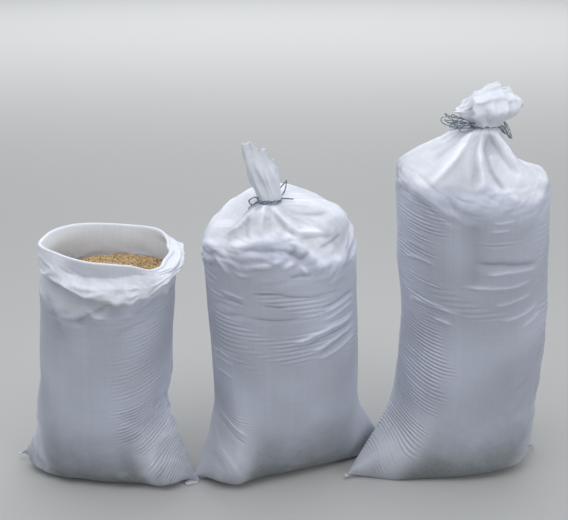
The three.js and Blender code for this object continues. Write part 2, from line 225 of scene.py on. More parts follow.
def skin(sack, u, angle):
    """Points of a sack's outer surface, before its creases. Angle 0 is the right ear, and a quarter turn on
    is the back."""
    right, left = side_edge(sack, 1, u), side_edge(sack, -1, u)
    front, back = face_edge(sack, -1, u), face_edge(sack, 1, u)
    squareness = lerp(FOOT_SQUARENESS, BODY_SQUARENESS, smooth(0, 0.95, u))
    squareness = squareness - DOME_ROUNDER * smooth(1.6, 2.4, u)

    def rounded(x):
        return np.sign(x) * np.abs(x) ** (2 / squareness)

    def between(low, high, t):
        return (low + high) / 2 + (high - low) / 2 * t

    across, away = rounded(np.cos(angle)), rounded(np.sin(angle))
    side_height = between(left[1], right[1], across)
    face_height = between(front[1], back[1], away)
    towards_side = lerp(smooth(0.76, 1, np.abs(across)), across**2, smooth(0.3, 1.2, u))
    x = between(left[0], right[0], across)
    toe = np.where(np.sin(angle) < 0, round_curve(sack.toe, angle), 0)
    y = between(front[0], back[0], away) - toe * smooth(0, 0.35, u) * (1 - smooth(0.8, 1.5, u))
    z = np.maximum(0, lerp(face_height, side_height, towards_side))
    return np.stack(np.broadcast_arrays(x, y, z), -1)


def even_angles(sack, count):
    """Angles for the columns, evenly spaced but closer at the creased sides, each with its mirror image."""
    fine = np.linspace(0, math.pi, 721)
    pace = 0.15 + 1.1 * np.abs(np.cos((fine[1:] + fine[:-1]) / 2)) ** 1.5
    for u, share in ((1.5, 1.0), (0.25, 0.6)):
        for side in (1, -1):
            ring = skin(sack, np.array([[u]]), side * fine[None, :])[0]
            step = np.linalg.norm(np.diff(ring, axis=0), axis=1)
            pace = pace + share * step / step.mean()
    travelled = np.concatenate([[0], np.cumsum(pace)])
    half = np.interp(np.linspace(0, travelled[-1], count // 2 + 1), travelled, fine)
    return np.concatenate([half, 2 * math.pi - half[-2:0:-1]])


def row_values(sack):
    """The u of each row, foot, body and dome. The body's rows lie closer together lower down."""
    foot, body = sack.rows[:2]
    climb = np.linspace(0, 1, body, endpoint=sack.neck is None) ** 1.1
    parts = [np.linspace(0, 1, foot, endpoint=False), 1 + climb]
    if sack.neck is not None:
        parts.append(np.linspace(2, 3, sack.rows[2]))
    return np.concatenate(parts)[:, None]


def normals_of(points):
    """Outward unit normals of rows of points, which close on themselves along each row."""
    padded = np.concatenate([points[:, -1:], points, points[:, :1]], axis=1)
    turn = padded[:, 2:] - padded[:, :-2]
    climb = np.gradient(points, axis=0)
    normal = np.cross(turn, climb)
    return normal / np.maximum(np.linalg.norm(normal, axis=-1, keepdims=True), 1e-12)


def step_lengths(points):
    """How far each row of points lies along its columns, from the first row."""
    steps = np.linalg.norm(np.diff(points, axis=0), axis=-1)
    return np.concatenate([np.zeros((1, points.shape[1])), np.cumsum(steps, axis=0)])


def measured(sack, u, angle):
    """A sack's plain surface with what the creases need to know about each of its points."""
    points = skin(sack, u, angle)
    body_ring = skin(sack, np.array([[1.5]]), angle)[0]
    girth = np.concatenate([[0], np.cumsum(np.linalg.norm(np.diff(body_ring, axis=0), axis=1))])
    around = girth[-1] + np.linalg.norm(body_ring[0] - body_ring[-1])
    middle = along(sack.lean, points[..., 2])
    rise = step_lengths(points)
    return SimpleNamespace(
        sack=sack, u=u, angle=angle, points=points, normals=normals_of(points),
        girth=girth[None, :], around=around, rise=rise, climb=rise.mean(1, keepdims=True),
        side=(points[..., 0] - middle) / sack.half_width, height=points[..., 2],
    )


# Creases and folds. Each returns heights along the normals.
def bumps(m, wide, tall, seed, level=None):
    """Smooth random heights over a sack, with bumps of one width and height in metres. They follow level
    where it is given, and otherwise the way up the cloth."""
    cells = max(3, round(m.around / wide))
    return wavy(m.girth / m.around, cells, (m.climb if level is None else level) / tall, seed)


def fine_creases(m, side, low, high, reach, shift, rise, bend, flat, period, depth, seed):
    """Fine parallel creases between two levels of a sack that sweep up to one side edge. They rise by rise
    at the ear's tip, more steeply the larger bend is, and are level from the height flat on. They start at
    reach from the body's edge, and by shift nearer to it at the floor."""
    tip = m.sack.half_seam / m.sack.half_width
    start = 1 - reach + shift * np.clip(1 - m.height / 0.2, 0, 1)
    outward = np.clip((m.side * side - 1 + reach) / (tip - 1 + reach), 0, 1)
    level = m.height - rise * outward**bend * (1 - smooth(0.4 * flat, flat, m.height))
    wander = bumps(m, 0.12, 0.05, seed, level)
    wave = 0.5 + 0.5 * np.sin(math.tau * (level / period + 0.35 * wander))
    broken = smooth(-1.0, 0.3, bumps(m, 0.06, 1.3 * period, seed + 1, level))
    band = smooth(low - 0.02, low + 0.03, level) * (1 - smooth(high - 0.07, high + 0.02, level))
    fade = smooth(0, 0.30, m.side * side - start + 0.12 * bumps(m, 0.07, 0.02, seed + 2))
    return depth * (wave**1.6 - 0.42) * broken * band * fade


def level_creases(m, low, high, period, depth, seed):
    """Level lines across a face, where the cloth has slack along its length."""
    wander = bumps(m, 0.16, 0.05, seed)
    wave = np.abs(np.sin(math.pi * (m.height / period + 0.6 * wander))) ** 0.7 - 0.6
    broken = smooth(-0.1, 0.7, bumps(m, 0.10, 1.5 * period, seed + 1))
    band = smooth(low - 0.02, low + 0.03, m.height) * (1 - smooth(high - 0.03, high + 0.02, m.height))
    return depth * wave * broken * band


def fold(m, path, depth, width, far_width):
    """A ridge, or a valley where depth is negative, through (degrees, u) points. It falls away over width on
    the left of its path, as seen from outside, and over far_width on the right."""
    shares = np.linspace(0, 1, len(path))
    spots = np.linspace(0, 1, 28)
    angle = np.radians(np.interp(spots, shares, [p[0] for p in path]))
    rows = np.interp(spots, shares, [p[1] for p in path])
    spine = skin(m.sack, rows, angle)
    near = (m.u[:, 0] > rows.min() - 0.5) & (m.u[:, 0] < rows.max() + 0.5)
    points, normals = m.points[near], m.normals[near]
    nearest = np.full(points.shape[:2], 1e9)
    signed, place = np.zeros_like(nearest), np.zeros_like(nearest)
    for i, (start, end) in enumerate(zip(spine, spine[1:])):
        run = end - start
        length = max((run**2).sum(), 1e-12)
        t = np.clip(((points - start) @ run) / length, 0, 1)
        away = points - start - run * t[..., None]
        distance = np.linalg.norm(away, axis=-1)
        closer = distance < nearest
        nearest = np.where(closer, distance, nearest)
        cross = (np.cross(run, away) * normals).sum(-1)
        signed = np.where(closer, np.sign(cross), signed)
        place = np.where(closer, (i + t) / (len(spots) - 1), place)
    reach = np.where(signed > 0, width, far_width)
    height = np.zeros(m.points.shape[:2])
    height[near] = depth * np.exp(-((nearest / reach) ** 1.3)) * smooth(-0.05, 0.15, place)
    height[near] *= 1 - smooth(0.75, 1.02, place)
    return height


def folds(m, paths):
    return sum(fold(m, *path) for path in paths)


def gathers(m, count, start, full, depth, seed):
    """Radial pleats that deepen from one row of the dome to another."""
    turns = m.angle / math.tau
    wobble = 0.7 * wavy(turns, 9, m.u * 2.2, seed)
    phase = count * m.angle / math.tau + wobble * smooth(2, 2.6, m.u)
    pleat = 1 - 1.6 * np.abs(np.sin(math.pi * phase)) ** 0.8
    strength = 0.65 + 0.5 * wavy(turns, count, m.u, seed + 1)
    return depth * pleat * strength * smooth(start, full, m.u)


def past_shoulder(m, seed):
    """How far each point lies above the sack's uneven shoulder line, along the cloth."""
    degrees = np.degrees(m.angle[0])
    rows = np.interp(degrees, [p[0] for p in m.sack.shoulder_line], [p[1] for p in m.sack.shoulder_line])
    at = np.array([np.interp(row, m.u[:, 0], m.rise[:, i]) for i, row in enumerate(rows)])
    past = m.rise - at[None, :] + 0.012 * bumps(m, 0.055, 0.08, seed)
    return past + 0.005 * bumps(m, 0.022, 0.03, seed + 1)


def hollow(m, toward, spread, low, high, depth):
    """A broad dent in the dome, deepest midway between two rows."""
    across = np.exp(-((degrees_from(m.angle, toward) / spread) ** 2))
    share = np.clip((m.u - low) / (high - low), 0, 1)
    return -depth * across * np.sin(math.pi * share) ** 1.5


def pillows(m, spots):
    """Uneven bumps, each at (degrees, u) with its half width, its half height and how far it stands out."""
    warp = bumps(m, 0.024, 0.020, 97)
    total = 0
    for toward, row, wide, tall, out in spots:
        column = np.abs(degrees_from(m.angle[0], toward)).argmin()
        level = np.interp(row, m.u[:, 0], m.rise[:, column])
        aside = np.abs(m.girth - m.girth[0, column])
        aside = np.minimum(aside, m.around - aside)
        aside, up = aside + 0.35 * wide * warp, m.rise - level + 0.45 * tall * warp
        far = (aside / wide) ** 2 + (up / tall) ** 2
        total = total + out * np.exp(-(far**1.3))
    return total


def ledge(m, height, seed):
    """The worn edge over which the cloth turns in where the fill ends, with a hollow above it."""
    past = past_shoulder(m, seed)
    below = np.exp(-((past / 0.040) ** 2))
    above = np.exp(-((past / 0.012) ** 2))
    above = above - 0.5 * np.exp(-(((past - 0.045) / 0.026) ** 2)) * smooth(0, 0.02, past)
    front = 0.22 + 0.78 * smooth(100, 45, np.abs(degrees_from(m.angle, 262)))
    return height * front * np.where(past < 0, below, above)


def crumples(m, depth, seed, below=0.012, reach=0.042):
    """Pillowy bumps with sharp valleys, in a band just below the shoulder line."""
    past = past_shoulder(m, seed)
    broad = np.abs(bumps(m, 0.050, 0.022, seed + 2))
    narrow = np.abs(bumps(m, 0.026, 0.013, seed + 3))
    fine = np.abs(bumps(m, 0.014, 0.008, seed + 4))
    band = np.exp(-(((past + below) / reach) ** 2))
    return depth * (0.75 * broad + 0.45 * narrow + 0.18 * fine - 0.40) * band


def crinkles(m, depth, wide, tall, seed):
    """Sharp small ridges and valleys of loose stiff cloth, finer towards the neck."""
    turns = m.angle / math.tau
    total = 0
    for octave, share in enumerate((1.0, 0.55, 0.40)):
        cells = round(m.around / wide * 2**octave)
        across = turns * cells + 0.6 * wavy(turns, 15, m.climb / 0.05, seed + 9)
        n = uneven(across, m.climb / tall * 1.8**octave, seed + octave, cells)
        sharp = 0.45 - np.abs(n)
        total = total + share * (sharp if octave % 2 == 0 else -sharp)
    return depth * total * smooth(-0.01, 0.03, past_shoulder(m, 91))


def soft_landing(m, relief):
    """Keeps the cloth flat where the sack stands, and within its solid at the ears."""
    lifted = smooth(0.004, 0.03, m.height)
    ear = smooth(1.12, 1.4, np.abs(m.side))
    return np.where(relief > 0, relief * (1 - ear), relief) * lifted


# The folds that show in front, each with its path, its height or depth and its reach on either side.
MEDIUM_FOLDS = (
    (((250, 2.99), (252, 2.83), (261, 2.68), (267, 2.55), (276, 2.47)), -0.0085, 0.006, 0.010),
    (((257, 2.98), (260, 2.82), (269, 2.66), (276, 2.54), (290, 2.48), (306, 2.38)), 0.0070, 0.008, 0.013),
    (((284, 2.96), (290, 2.84), (296, 2.72), (314, 2.59), (326, 2.52)), -0.0055, 0.005, 0.012),
    (((276, 2.86), (281, 2.70), (298, 2.47), (308, 2.36)), -0.0030, 0.006, 0.010),
    (((278, 2.46), (294, 2.41), (309, 2.31)), -0.0050, 0.006, 0.010),
    (((290, 2.31), (303, 2.29), (318, 2.27)), -0.0050, 0.004, 0.010),
    (((312, 2.12), (322, 2.14), (331, 2.17)), -0.0045, 0.004, 0.008),
    (((234, 2.97), (219, 2.66), (222, 2.50), (229, 2.34)), -0.0075, 0.005, 0.009),
    (((244, 2.97), (231, 2.84), (217, 2.66), (212, 2.48), (194, 2.22)), 0.0065, 0.007, 0.012),
    (((204, 2.95), (196, 2.68), (180, 2.45), (168, 2.25)), -0.0055, 0.007, 0.012),
    (((241, 2.84), (239, 2.64), (241, 2.44)), 0.0038, 0.004, 0.006),
    (((247, 2.74), (246, 2.57), (250, 2.42)), -0.0032, 0.006, 0.010),
    (((263, 2.34), (271, 2.27), (281, 2.32)), -0.0080, 0.007, 0.009),
    (((264, 1.715), (276, 1.745), (290, 1.745), (307, 1.71), (322, 1.68)), 0.0070, 0.004, 0.007),
    (((268, 1.685), (280, 1.71), (292, 1.705), (308, 1.67), (322, 1.64)), -0.0052, 0.003, 0.005),
    (((274, 1.655), (288, 1.67), (302, 1.66), (321, 1.62)), 0.0060, 0.003, 0.005),
    (((280, 1.63), (292, 1.635), (304, 1.63), (321, 1.59)), -0.0044, 0.003, 0.005),
    (((278, 1.61), (292, 1.60), (306, 1.59), (321, 1.56)), 0.0048, 0.004, 0.006),
    (((284, 1.865), (298, 1.85), (310, 1.83), (322, 1.80)), -0.0042, 0.003, 0.005),
    (((286, 1.84), (299, 1.825), (311, 1.805), (323, 1.775)), 0.0044, 0.003, 0.005),
    (((285, 1.80), (300, 1.79), (312, 1.77), (322, 1.74)), 0.0044, 0.003, 0.006),
    (((236, 1.925), (247, 1.955), (258, 1.965), (270, 1.955), (282, 1.935), (298, 1.91)),
     -0.0036, 0.003, 0.006),
    (((244, 1.885), (252, 1.90), (260, 1.90)), -0.0030, 0.003, 0.005),
    (((234, 1.80), (255, 1.83), (272, 1.85)), -0.0028, 0.003, 0.006),
    (((262, 2.10), (270, 2.12), (279, 2.10)), -0.0045, 0.004, 0.006),
    (((206, 1.86), (216, 1.87), (229, 1.88)), 0.0026, 0.003, 0.005),
    (((206, 1.83), (216, 1.84), (229, 1.85)), -0.0026, 0.003, 0.005),
    (((183, 1.46), (196, 1.49), (212, 1.50)), 0.0030, 0.003, 0.005),
    (((184, 1.42), (198, 1.45), (214, 1.46)), 0.0024, 0.003, 0.005),
    (((186, 1.35), (198, 1.375), (212, 1.385)), 0.0026, 0.003, 0.005),
    (((184, 1.09), (204, 1.10), (226, 1.11)), 0.0028, 0.003, 0.005),
    (((186, 1.05), (206, 1.05), (222, 1.06)), -0.0026, 0.003, 0.004),
)
LARGE_FOLDS = (
    (((213, 2.99), (220, 2.79), (222, 2.60), (220, 2.36), (215, 2.02)), 0.0100, 0.0045, 0.010),
    (((200, 2.98), (206, 2.7), (206, 2.4)), -0.0050, 0.008, 0.010),
    (((186, 2.97), (195, 2.74), (196, 2.46)), -0.0048, 0.007, 0.010),
    (((232, 2.97), (238, 2.78), (247, 2.60), (250, 2.30)), -0.0075, 0.005, 0.010),
    (((238, 2.97), (245, 2.77), (254, 2.58), (257, 2.36)), 0.0060, 0.006, 0.009),
    (((252, 2.97), (262, 2.68), (272, 2.50), (277, 2.38)), -0.0085, 0.004, 0.009),
    (((264, 2.97), (284, 2.83), (291, 2.66), (295, 2.50)), -0.0110, 0.006, 0.008),
    (((262, 2.995), (294, 2.94), (300, 2.84), (299, 2.70), (297, 2.46)), 0.0105, 0.008, 0.016),
    (((312, 2.95), (325, 2.70), (330, 2.40)), -0.0050, 0.009, 0.012),
    (((262, 2.97), (262, 2.88), (262, 2.76)), -0.0100, 0.015, 0.015),
    (((252, 1.98), (254, 1.85), (251, 1.70)), -0.0050, 0.030, 0.030),
    (((256, 1.835), (271, 1.838), (284, 1.818), (302, 1.785)), -0.0060, 0.006, 0.008),
    (((262, 1.80), (274, 1.805), (288, 1.79), (302, 1.765)), 0.0046, 0.004, 0.007),
    (((248, 1.735), (260, 1.748), (270, 1.748), (282, 1.74), (298, 1.735)), 0.0044, 0.004, 0.007),
    (((268, 1.68), (281, 1.683), (298, 1.68)), 0.0038, 0.004, 0.007),
    (((272, 1.615), (290, 1.615), (304, 1.62)), 0.0042, 0.004, 0.007),
    (((286, 1.565), (308, 1.575)), 0.0036, 0.004, 0.006),
    (((266, 1.99), (281, 1.99)), 0.0028, 0.003, 0.005),
    (((264, 1.96), (278, 1.96)), 0.0026, 0.003, 0.005),
    (((182, 1.74), (198, 1.76), (214, 1.78)), 0.0016, 0.003, 0.004),
    (((184, 1.685), (204, 1.72), (222, 1.745)), 0.0026, 0.003, 0.004),
    (((187, 1.52), (205, 1.56), (224, 1.59), (246, 1.62)), 0.0036, 0.004, 0.006),
    (((218, 1.53), (235, 1.555)), 0.0040, 0.004, 0.006),
)
SMALL_FOLDS = (
    (((262, 1.79), (272, 1.84), (284, 1.885), (298, 1.885)), -0.0060, 0.006, 0.010),
    (((304, 1.82), (318, 1.825), (336, 1.86)), -0.0035, 0.006, 0.009),
    (((336, 1.78), (310, 1.76), (286, 1.72)), -0.0024, 0.005, 0.008),
    (((232, 1.90), (244, 1.78), (252, 1.66)), -0.0026, 0.012, 0.014),
)


def mouth_folds(angle):
    """Soft upright folds of the open bag's loose wall, the same at every height."""
    turns = angle / math.tau
    return 0.0036 * wavy(turns, 9, 0.5, 104) + 0.0024 * wavy(turns, 21, 0.5, 110)


# Small bumps of loose cloth at the shoulders, and broad swellings of the feet: see pillows.
MEDIUM_PILLOWS = (
    (208, 2.02, 0.022, 0.010, 0.0045), (221, 2.07, 0.016, 0.008, 0.0025), (232, 2.10, 0.016, 0.008, 0.0025),
    (242, 2.165, 0.022, 0.009, 0.0050), (253, 2.24, 0.013, 0.007, 0.0040), (262, 2.21, 0.015, 0.009, 0.0050),
    (273, 2.185, 0.015, 0.013, 0.0050), (285, 2.15, 0.020, 0.013, 0.0038), (300, 2.13, 0.022, 0.011, 0.0030),
    (228, 2.00, 0.018, 0.006, 0.0025),
)
SMALL_SWELLS = (
    (212, 0.50, 0.05, 0.06, 0.020), (318, 0.40, 0.06, 0.06, 0.016), (0, 1.11, 0.10, 0.065, -0.009),
)
MEDIUM_SWELLS = ((212, 0.50, 0.05, 0.06, 0.004), (-4, 2.08, 0.10, 0.05, -0.008))
LARGE_SWELLS = (
    (326, 0.45, 0.05, 0.05, 0.004), (352, 0.95, 0.13, 0.17, -0.009), (0, 1.42, 0.09, 0.08, -0.008),
)
SMALL_PILLOWS = (
    (280, 1.835, 0.030, 0.009, 0.0055), (303, 1.825, 0.018, 0.008, 0.0045),
    (252, 1.80, 0.026, 0.010, 0.0035), (226, 1.84, 0.022, 0.012, 0.0030),
)


def medium_relief(m):
    """The cloth's height along its normals, its creases from -1 to 1 for the painted crease shade and
    highlight, and where its colour is painted lighter: where it stands off the wheat, and as painted light
    on its creased right side.
    """
    lifted = pillows(m, MEDIUM_PILLOWS)
    broad = 0.0022 * bumps(m, 0.16, 0.16, 31) + pillows(m, MEDIUM_SWELLS)
    broad = broad + hollow(m, 148, 48, 2.14, 3.0, 0.068) + hollow(m, 75, 35, 2.45, 3.0, 0.006)
    loose = (
        ledge(m, 0.0045, 36) + crumples(m, 0.0090, 36, 0.022, 0.034) + folds(m, MEDIUM_FOLDS) + lifted
        + gathers(m, 11, 2.2, 2.8, 0.0045, 39) + gathers(m, 23, 2.5, 2.95, 0.0026, 41)
        + crinkles(m, 0.0026, 0.055, 0.05, 141)
    )
    tight = (
        0.0010 * bumps(m, 0.07, 0.07, 32)
        + fine_creases(m, -1, -0.10, 0.26, 0.36, 0.2, 0.11, 2.2, 0.30, 0.0088, 0.0015, 33)
        + fine_creases(m, 1, -0.10, 0.46, 0.26, 0.2, 0.10, 2.2, 0.30, 0.0095, 0.0014, 43)
        + level_creases(m, 0.43, 0.60, 0.022, 0.0020, 45)
        + level_creases(m, 0.33, 0.58, 0.0125, 0.0022, 47)
    )
    # Painted light: the creased right side of this sack is painted lighter, as if lit from the right, and so
    # is the cloth lifted off the wheat on its pillows.
    lit_right_side = 0.4 * smooth(0.5, 1, m.side) * smooth(0.12, 0.3, m.height)
    painted_light_share = np.maximum(0.5 * smooth(0.0012, 0.0045, lifted), lit_right_side)
    return broad + loose + tight, loose + FINE_TONE * tight, painted_light_share


def large_relief(m):
    """As for the medium sack."""
    broad = 0.0024 * bumps(m, 0.17, 0.17, 51) + pillows(m, LARGE_SWELLS)
    broad = broad + hollow(m, 4, 42, 2.20, 3.05, 0.046) + hollow(m, 168, 35, 2.7, 3.1, -0.012)
    loose = (
        ledge(m, 0.0020, 56) + crumples(m, 0.0048, 66) + folds(m, LARGE_FOLDS)
        + gathers(m, 10, 2.3, 2.8, 0.0030, 59) + gathers(m, 21, 2.5, 2.95, 0.0024, 61)
        + crinkles(m, 0.0020, 0.06, 0.09, 161)
    )
    tight = (
        0.0010 * bumps(m, 0.07, 0.07, 52)
        + fine_creases(m, -1, -0.20, 0.50, 0.38, 0.1, 0.16, 2.1, 0.60, 0.0100, 0.0040, 53)
        + fine_creases(m, -1, 0.46, 0.78, 0.32, 0.0, 0.10, 2.0, 1.20, 0.0095, 0.0030, 57)
        + fine_creases(m, 1, 0.30, 0.72, 0.55, 0.0, 0.05, 2.0, 0.90, 0.0150, 0.0014, 55)
        + level_creases(m, 0.44, 0.72, 0.014, 0.0014, 63)
    )
    return broad + loose + tight, loose + FINE_TONE * tight, 0 * m.side


def small_relief(m):
    """As for the medium sack."""
    lifted = pillows(m, SMALL_PILLOWS)
    broad = 0.0022 * bumps(m, 0.15, 0.15, 11) + mouth_folds(m.angle) * smooth(1.80, 1.98, m.u)
    broad = broad + pillows(m, SMALL_SWELLS)
    loose = folds(m, SMALL_FOLDS) + lifted + crumples(m, 0.0035, 26, 0.0, 0.030)
    tight = (
        0.0010 * bumps(m, 0.07, 0.07, 12)
        + fine_creases(m, 1, -0.20, 0.27, 0.60, 0.6, 0.17, 2.4, 0.50, 0.0100, 0.0050, 13)
        + fine_creases(m, 1, 0.24, 0.52, 0.62, 0.6, 0.10, 2.0, 0.90, 0.0110, 0.0014, 23)
        + fine_creases(m, -1, -0.20, 0.33, 0.24, 0.1, 0.17, 2.0, 0.50, 0.0086, 0.0022, 15)
        + level_creases(m, 0.42, 0.54, 0.012, 0.0006, 17)
    )
    return broad + loose + tight, loose + FINE_TONE * tight, 0 * m.side


# Meshes from rows of points.
def smooth_mesh(name, points, faces):
    mesh = bpy.data.meshes.new(name)
    mesh.from_pydata(points, [], faces)
    mesh.update()
    mesh.shade_smooth()
    return mesh


def mesh_from_rows(name, rows, start_cap, end_cap, around=None, climb=None, values=None):
    """A closed mesh through rows of points. A cap is "seam", a flat strip from front to back, or "fan"."""
    count, columns = rows.shape[:2]
    points = rows.reshape(-1, 3)
    at = np.arange(count * columns).reshape(count, columns)
    right = np.roll(at, -1, axis=1)
    faces = np.stack([at[:-1], right[:-1], right[1:], at[1:]], -1).reshape(-1, 4).tolist()
    extra = []
    for cap, row, outwards in ((start_cap, 0, False), (end_cap, count - 1, True)):
        ring = at[row].tolist()
        if cap == "seam":
            strip = [
                [ring[i], ring[i + 1], ring[columns - i - 1], ring[(columns - i) % columns]]
                for i in range(columns // 2)
            ]
            strip = [list(dict.fromkeys(f)) for f in strip]
        else:
            tip = len(points) + len(extra)
            extra.append(rows[row].mean(0))
            strip = [[tip, ring[i], ring[(i + 1) % columns]] for i in range(columns)]
        faces += [f if outwards else f[::-1] for f in strip]
    if extra:
        points = np.concatenate([points, extra])
    mesh = smooth_mesh(name, points.tolist(), faces)
    if around is not None:
        cloth_map(mesh, at, around, climb, len(points))
    for label, value in (values or {}).items():
        spread = np.zeros(len(points), np.float32)
        spread[: count * columns] = np.broadcast_to(value, (count, columns)).ravel()
        mesh.attributes.new(label, "FLOAT", "POINT").data.foreach_set("value", spread)
    return mesh


def cloth_map(mesh, at, around, climb, total):
    """A UV map in metres of cloth: round the sack, and up it."""
    columns = at.shape[1]
    column_of = np.zeros(total, int)
    column_of[: at.size] = np.tile(np.arange(columns), at.shape[0])
    up = np.zeros(total)
    up[: at.size] = np.broadcast_to(climb, at.shape).ravel()
    vertex = np.zeros(len(mesh.loops), int)
    mesh.loops.foreach_get("vertex_index", vertex)
    sizes = np.zeros(len(mesh.polygons), int)
    mesh.polygons.foreach_get("loop_total", sizes)
    polygon = np.repeat(np.arange(len(sizes)), sizes)
    column = column_of[vertex]
    last = np.zeros(len(sizes), bool)
    np.logical_or.at(last, polygon, column == columns - 1)
    first = np.zeros(len(sizes), bool)
    np.logical_or.at(first, polygon, column == 0)
    wrapped = (last & first)[polygon] & (column == 0)
    position = np.where(wrapped, around[-1], around[column])
    uv = mesh.uv_layers.new(name="cloth")
    uv.data.foreach_set("uv", np.stack([position, up[vertex]], -1).astype(np.float32).ravel())


def placed(sack, points):
    """Points of a sack's own frame, moved into the row."""
    turn = math.radians(sack.yaw)
    x = sack.at[0] + points[..., 0] * math.cos(turn) - points[..., 1] * math.sin(turn)
    y = sack.at[1] + points[..., 0] * math.sin(turn) + points[..., 1] * math.cos(turn)
    return np.stack([x, y, points[..., 2]], -1)


def add_object(name, mesh, material=None):
    piece = bpy.data.objects.new(name, mesh)
    bpy.context.scene.collection.objects.link(piece)
    if material is not None:
        mesh.materials.append(material)
    return piece


# Above a tied neck the cloth opens into a tuft: its centre line, its half width and its half depth along its
# rise, and how its cut edge stands above or below its height from its left side (-1) to its right (1).
# folding is how deep its pleats are at the neck and above it, and lip is how far the edge stands up more in
# front, and less behind.
TUFTS = {
    "medium": SimpleNamespace(
        height=0.137, lean=((0, 0), (1, -0.025)), tilt=((0, 0), (1, 0.010)),
        wide=((0, 0.0255), (0.07, 0.0300), (0.16, 0.0310), (0.45, 0.037), (1, 0.040)),
        deep=((0, 0.0255), (0.08, 0.0310), (0.40, 0.024), (1, 0.007)),
        crest=((-1, 0.004), (-0.9, 0.010), (-0.45, 0.012), (-0.1, -0.002), (0.05, -0.014), (0.22, -0.009),
               (0.4, -0.010), (0.62, -0.022), (0.8, -0.032), (1, -0.036)),
        pleats=6, folding=(0.04, 0.13), ragged=0.0022, lip=0.001, seed=71,
    ),
    "large": SimpleNamespace(
        height=0.093, lean=((0, 0), (0.5, 0.006), (1, 0.008)), tilt=((0, 0), (1, 0.004)),
        wide=((0, 0.0265), (0.10, 0.036), (0.35, 0.064), (0.62, 0.077), (0.85, 0.073), (1, 0.062)),
        deep=((0, 0.0265), (0.10, 0.034), (0.40, 0.048), (0.70, 0.036), (0.90, 0.012), (1, 0.0017)),
        crest=((-1, -0.046), (-0.85, -0.030), (-0.6, -0.010), (-0.1, 0.008), (0.26, 0.011), (0.36, -0.006),
               (0.5, -0.007), (0.88, -0.010), (1, -0.024)),
        pleats=11, folding=(0.07, 0.07), ragged=0.003, lip=0.005, seed=81,
    ),
}
THROAT = (1, 0.92, 0.82, 0.7, 0.55, 0.4, 0.25, 0.12, 0)  # rows down into the tuft
TUFT_ROWS = 42
MOUTH_ROWS = 18  # rows of the open bag's cloth from its body up to its fold
FOLD_ROWS, FLAP_ROWS = 15, 50  # rows over that fold, and down the flap to its hem


def tuft_rows(sack, angle, rises, share=1.0, inset=0.0):
    """Rings of the tuft, from the neck to its ragged rim, shrunk to a share of their outline and set in.
    Towards the rim the front and the back crease alike, so that the two lie together."""
    t = TUFTS[sack.name]
    rise = np.asarray(rises)[:, None]
    share = np.broadcast_to(share, rise.shape[:1])[:, None]
    wide, deep = along(t.wide, rise), along(t.deep, rise)
    opened = smooth(0.02, 0.35, rise)

    def creased(turns):
        phase = t.pleats * turns + 0.6 * wavy(turns, 7, rise * 2, t.seed)
        pleat = 1 - 1.5 * np.abs(np.sin(math.pi * phase)) ** 0.8
        crumpled = 0.9 - 2 * np.abs(wavy(turns, 19, rise * 2.6, t.seed + 4))
        fine = wavy(turns, 31, rise * 3.5, t.seed + 1) + crumpled
        return lerp(t.folding[0], t.folding[1], opened) * pleat + 0.06 * fine * (0.25 + opened)

    mirrored = np.arccos(np.cos(angle)) / math.tau
    folding = 1 + lerp(creased(angle / math.tau), creased(mirrored), smooth(0.6, 1, rise))
    notches = wavy(mirrored, 17, 0.5, t.seed + 2) + 0.7 * wavy(mirrored, 41, 0.5, t.seed + 3)
    top = t.height + along(t.crest, np.cos(angle)) + t.ragged * (notches - 0.6) - t.lip * np.sin(angle)
    x = sack.neck[0] + along(t.lean, rise) + (wide * folding * share - inset) * np.cos(angle)
    y = sack.neck[1] + along(t.tilt, rise) + (deep * folding * share - inset) * np.sin(angle)
    z = sack.neck[2] + lerp(t.height, top, smooth(0.15, 1, rise)) * rise
    return np.stack(np.broadcast_arrays(x, y, z), -1)


def cloth_body(sack, relief):
    """A sack's cloth up to its last row, and the attributes that its finish reads."""
    angle = even_angles(sack, COLUMNS)[None, :]
    m = measured(sack, row_values(sack), angle)
    height, crease, lifted = relief(m)
    height = soft_landing(m, height)
    # Where no wheat lies behind the cloth, on the ears, and where the relief asks, it takes the lighter free
    # cloth colour: painted light shining through the thin cloth.
    slack = smooth(-0.010, 0.022, past_shoulder(m, 91) + 0.006 * bumps(m, 0.03, 0.02, 92))
    slack = np.maximum(slack, 0.5 * ears_of(m))
    return m, height, np.maximum(slack, lifted), np.clip(crease / FULL_CREASE, -1, 1)


def ears_of(m):
    """Where the flat ears are, low at both sides of a sack, from 0 to 1."""
    return smooth(0.50, 1.0, np.abs(m.side)) * (1 - smooth(0.12, 0.26, m.height))


def tied_cloth(sack, relief):
    """The outer side of a tied bag's cloth, from the foot to the neck, and what its finish reads."""
    m, height, slack, crease = cloth_body(sack, relief)
    height = height * (1 - smooth(2.86, 3, m.u))
    body = m.points + m.normals * height[..., None]
    body[..., 2] = np.maximum(body[..., 2], 0)
    neck_ring = tuft_rows(sack, m.angle, [0])
    body = body + (neck_ring - m.points[-1:]) * smooth(2.84, 3, m.u)[..., None]
    return SimpleNamespace(m=m, height=height, points=body, slack=slack, crease=crease)


def bag_mesh(m, rows, values):
    """A bag's one closed mesh through all of its rows, with what its finish reads."""
    around, climb = np.append(m.girth[0], m.around), step_lengths(rows).mean(1, keepdims=True)
    return mesh_from_rows(m.sack.name + "_sack", placed(m.sack, rows), "seam", "seam", around, climb, values)


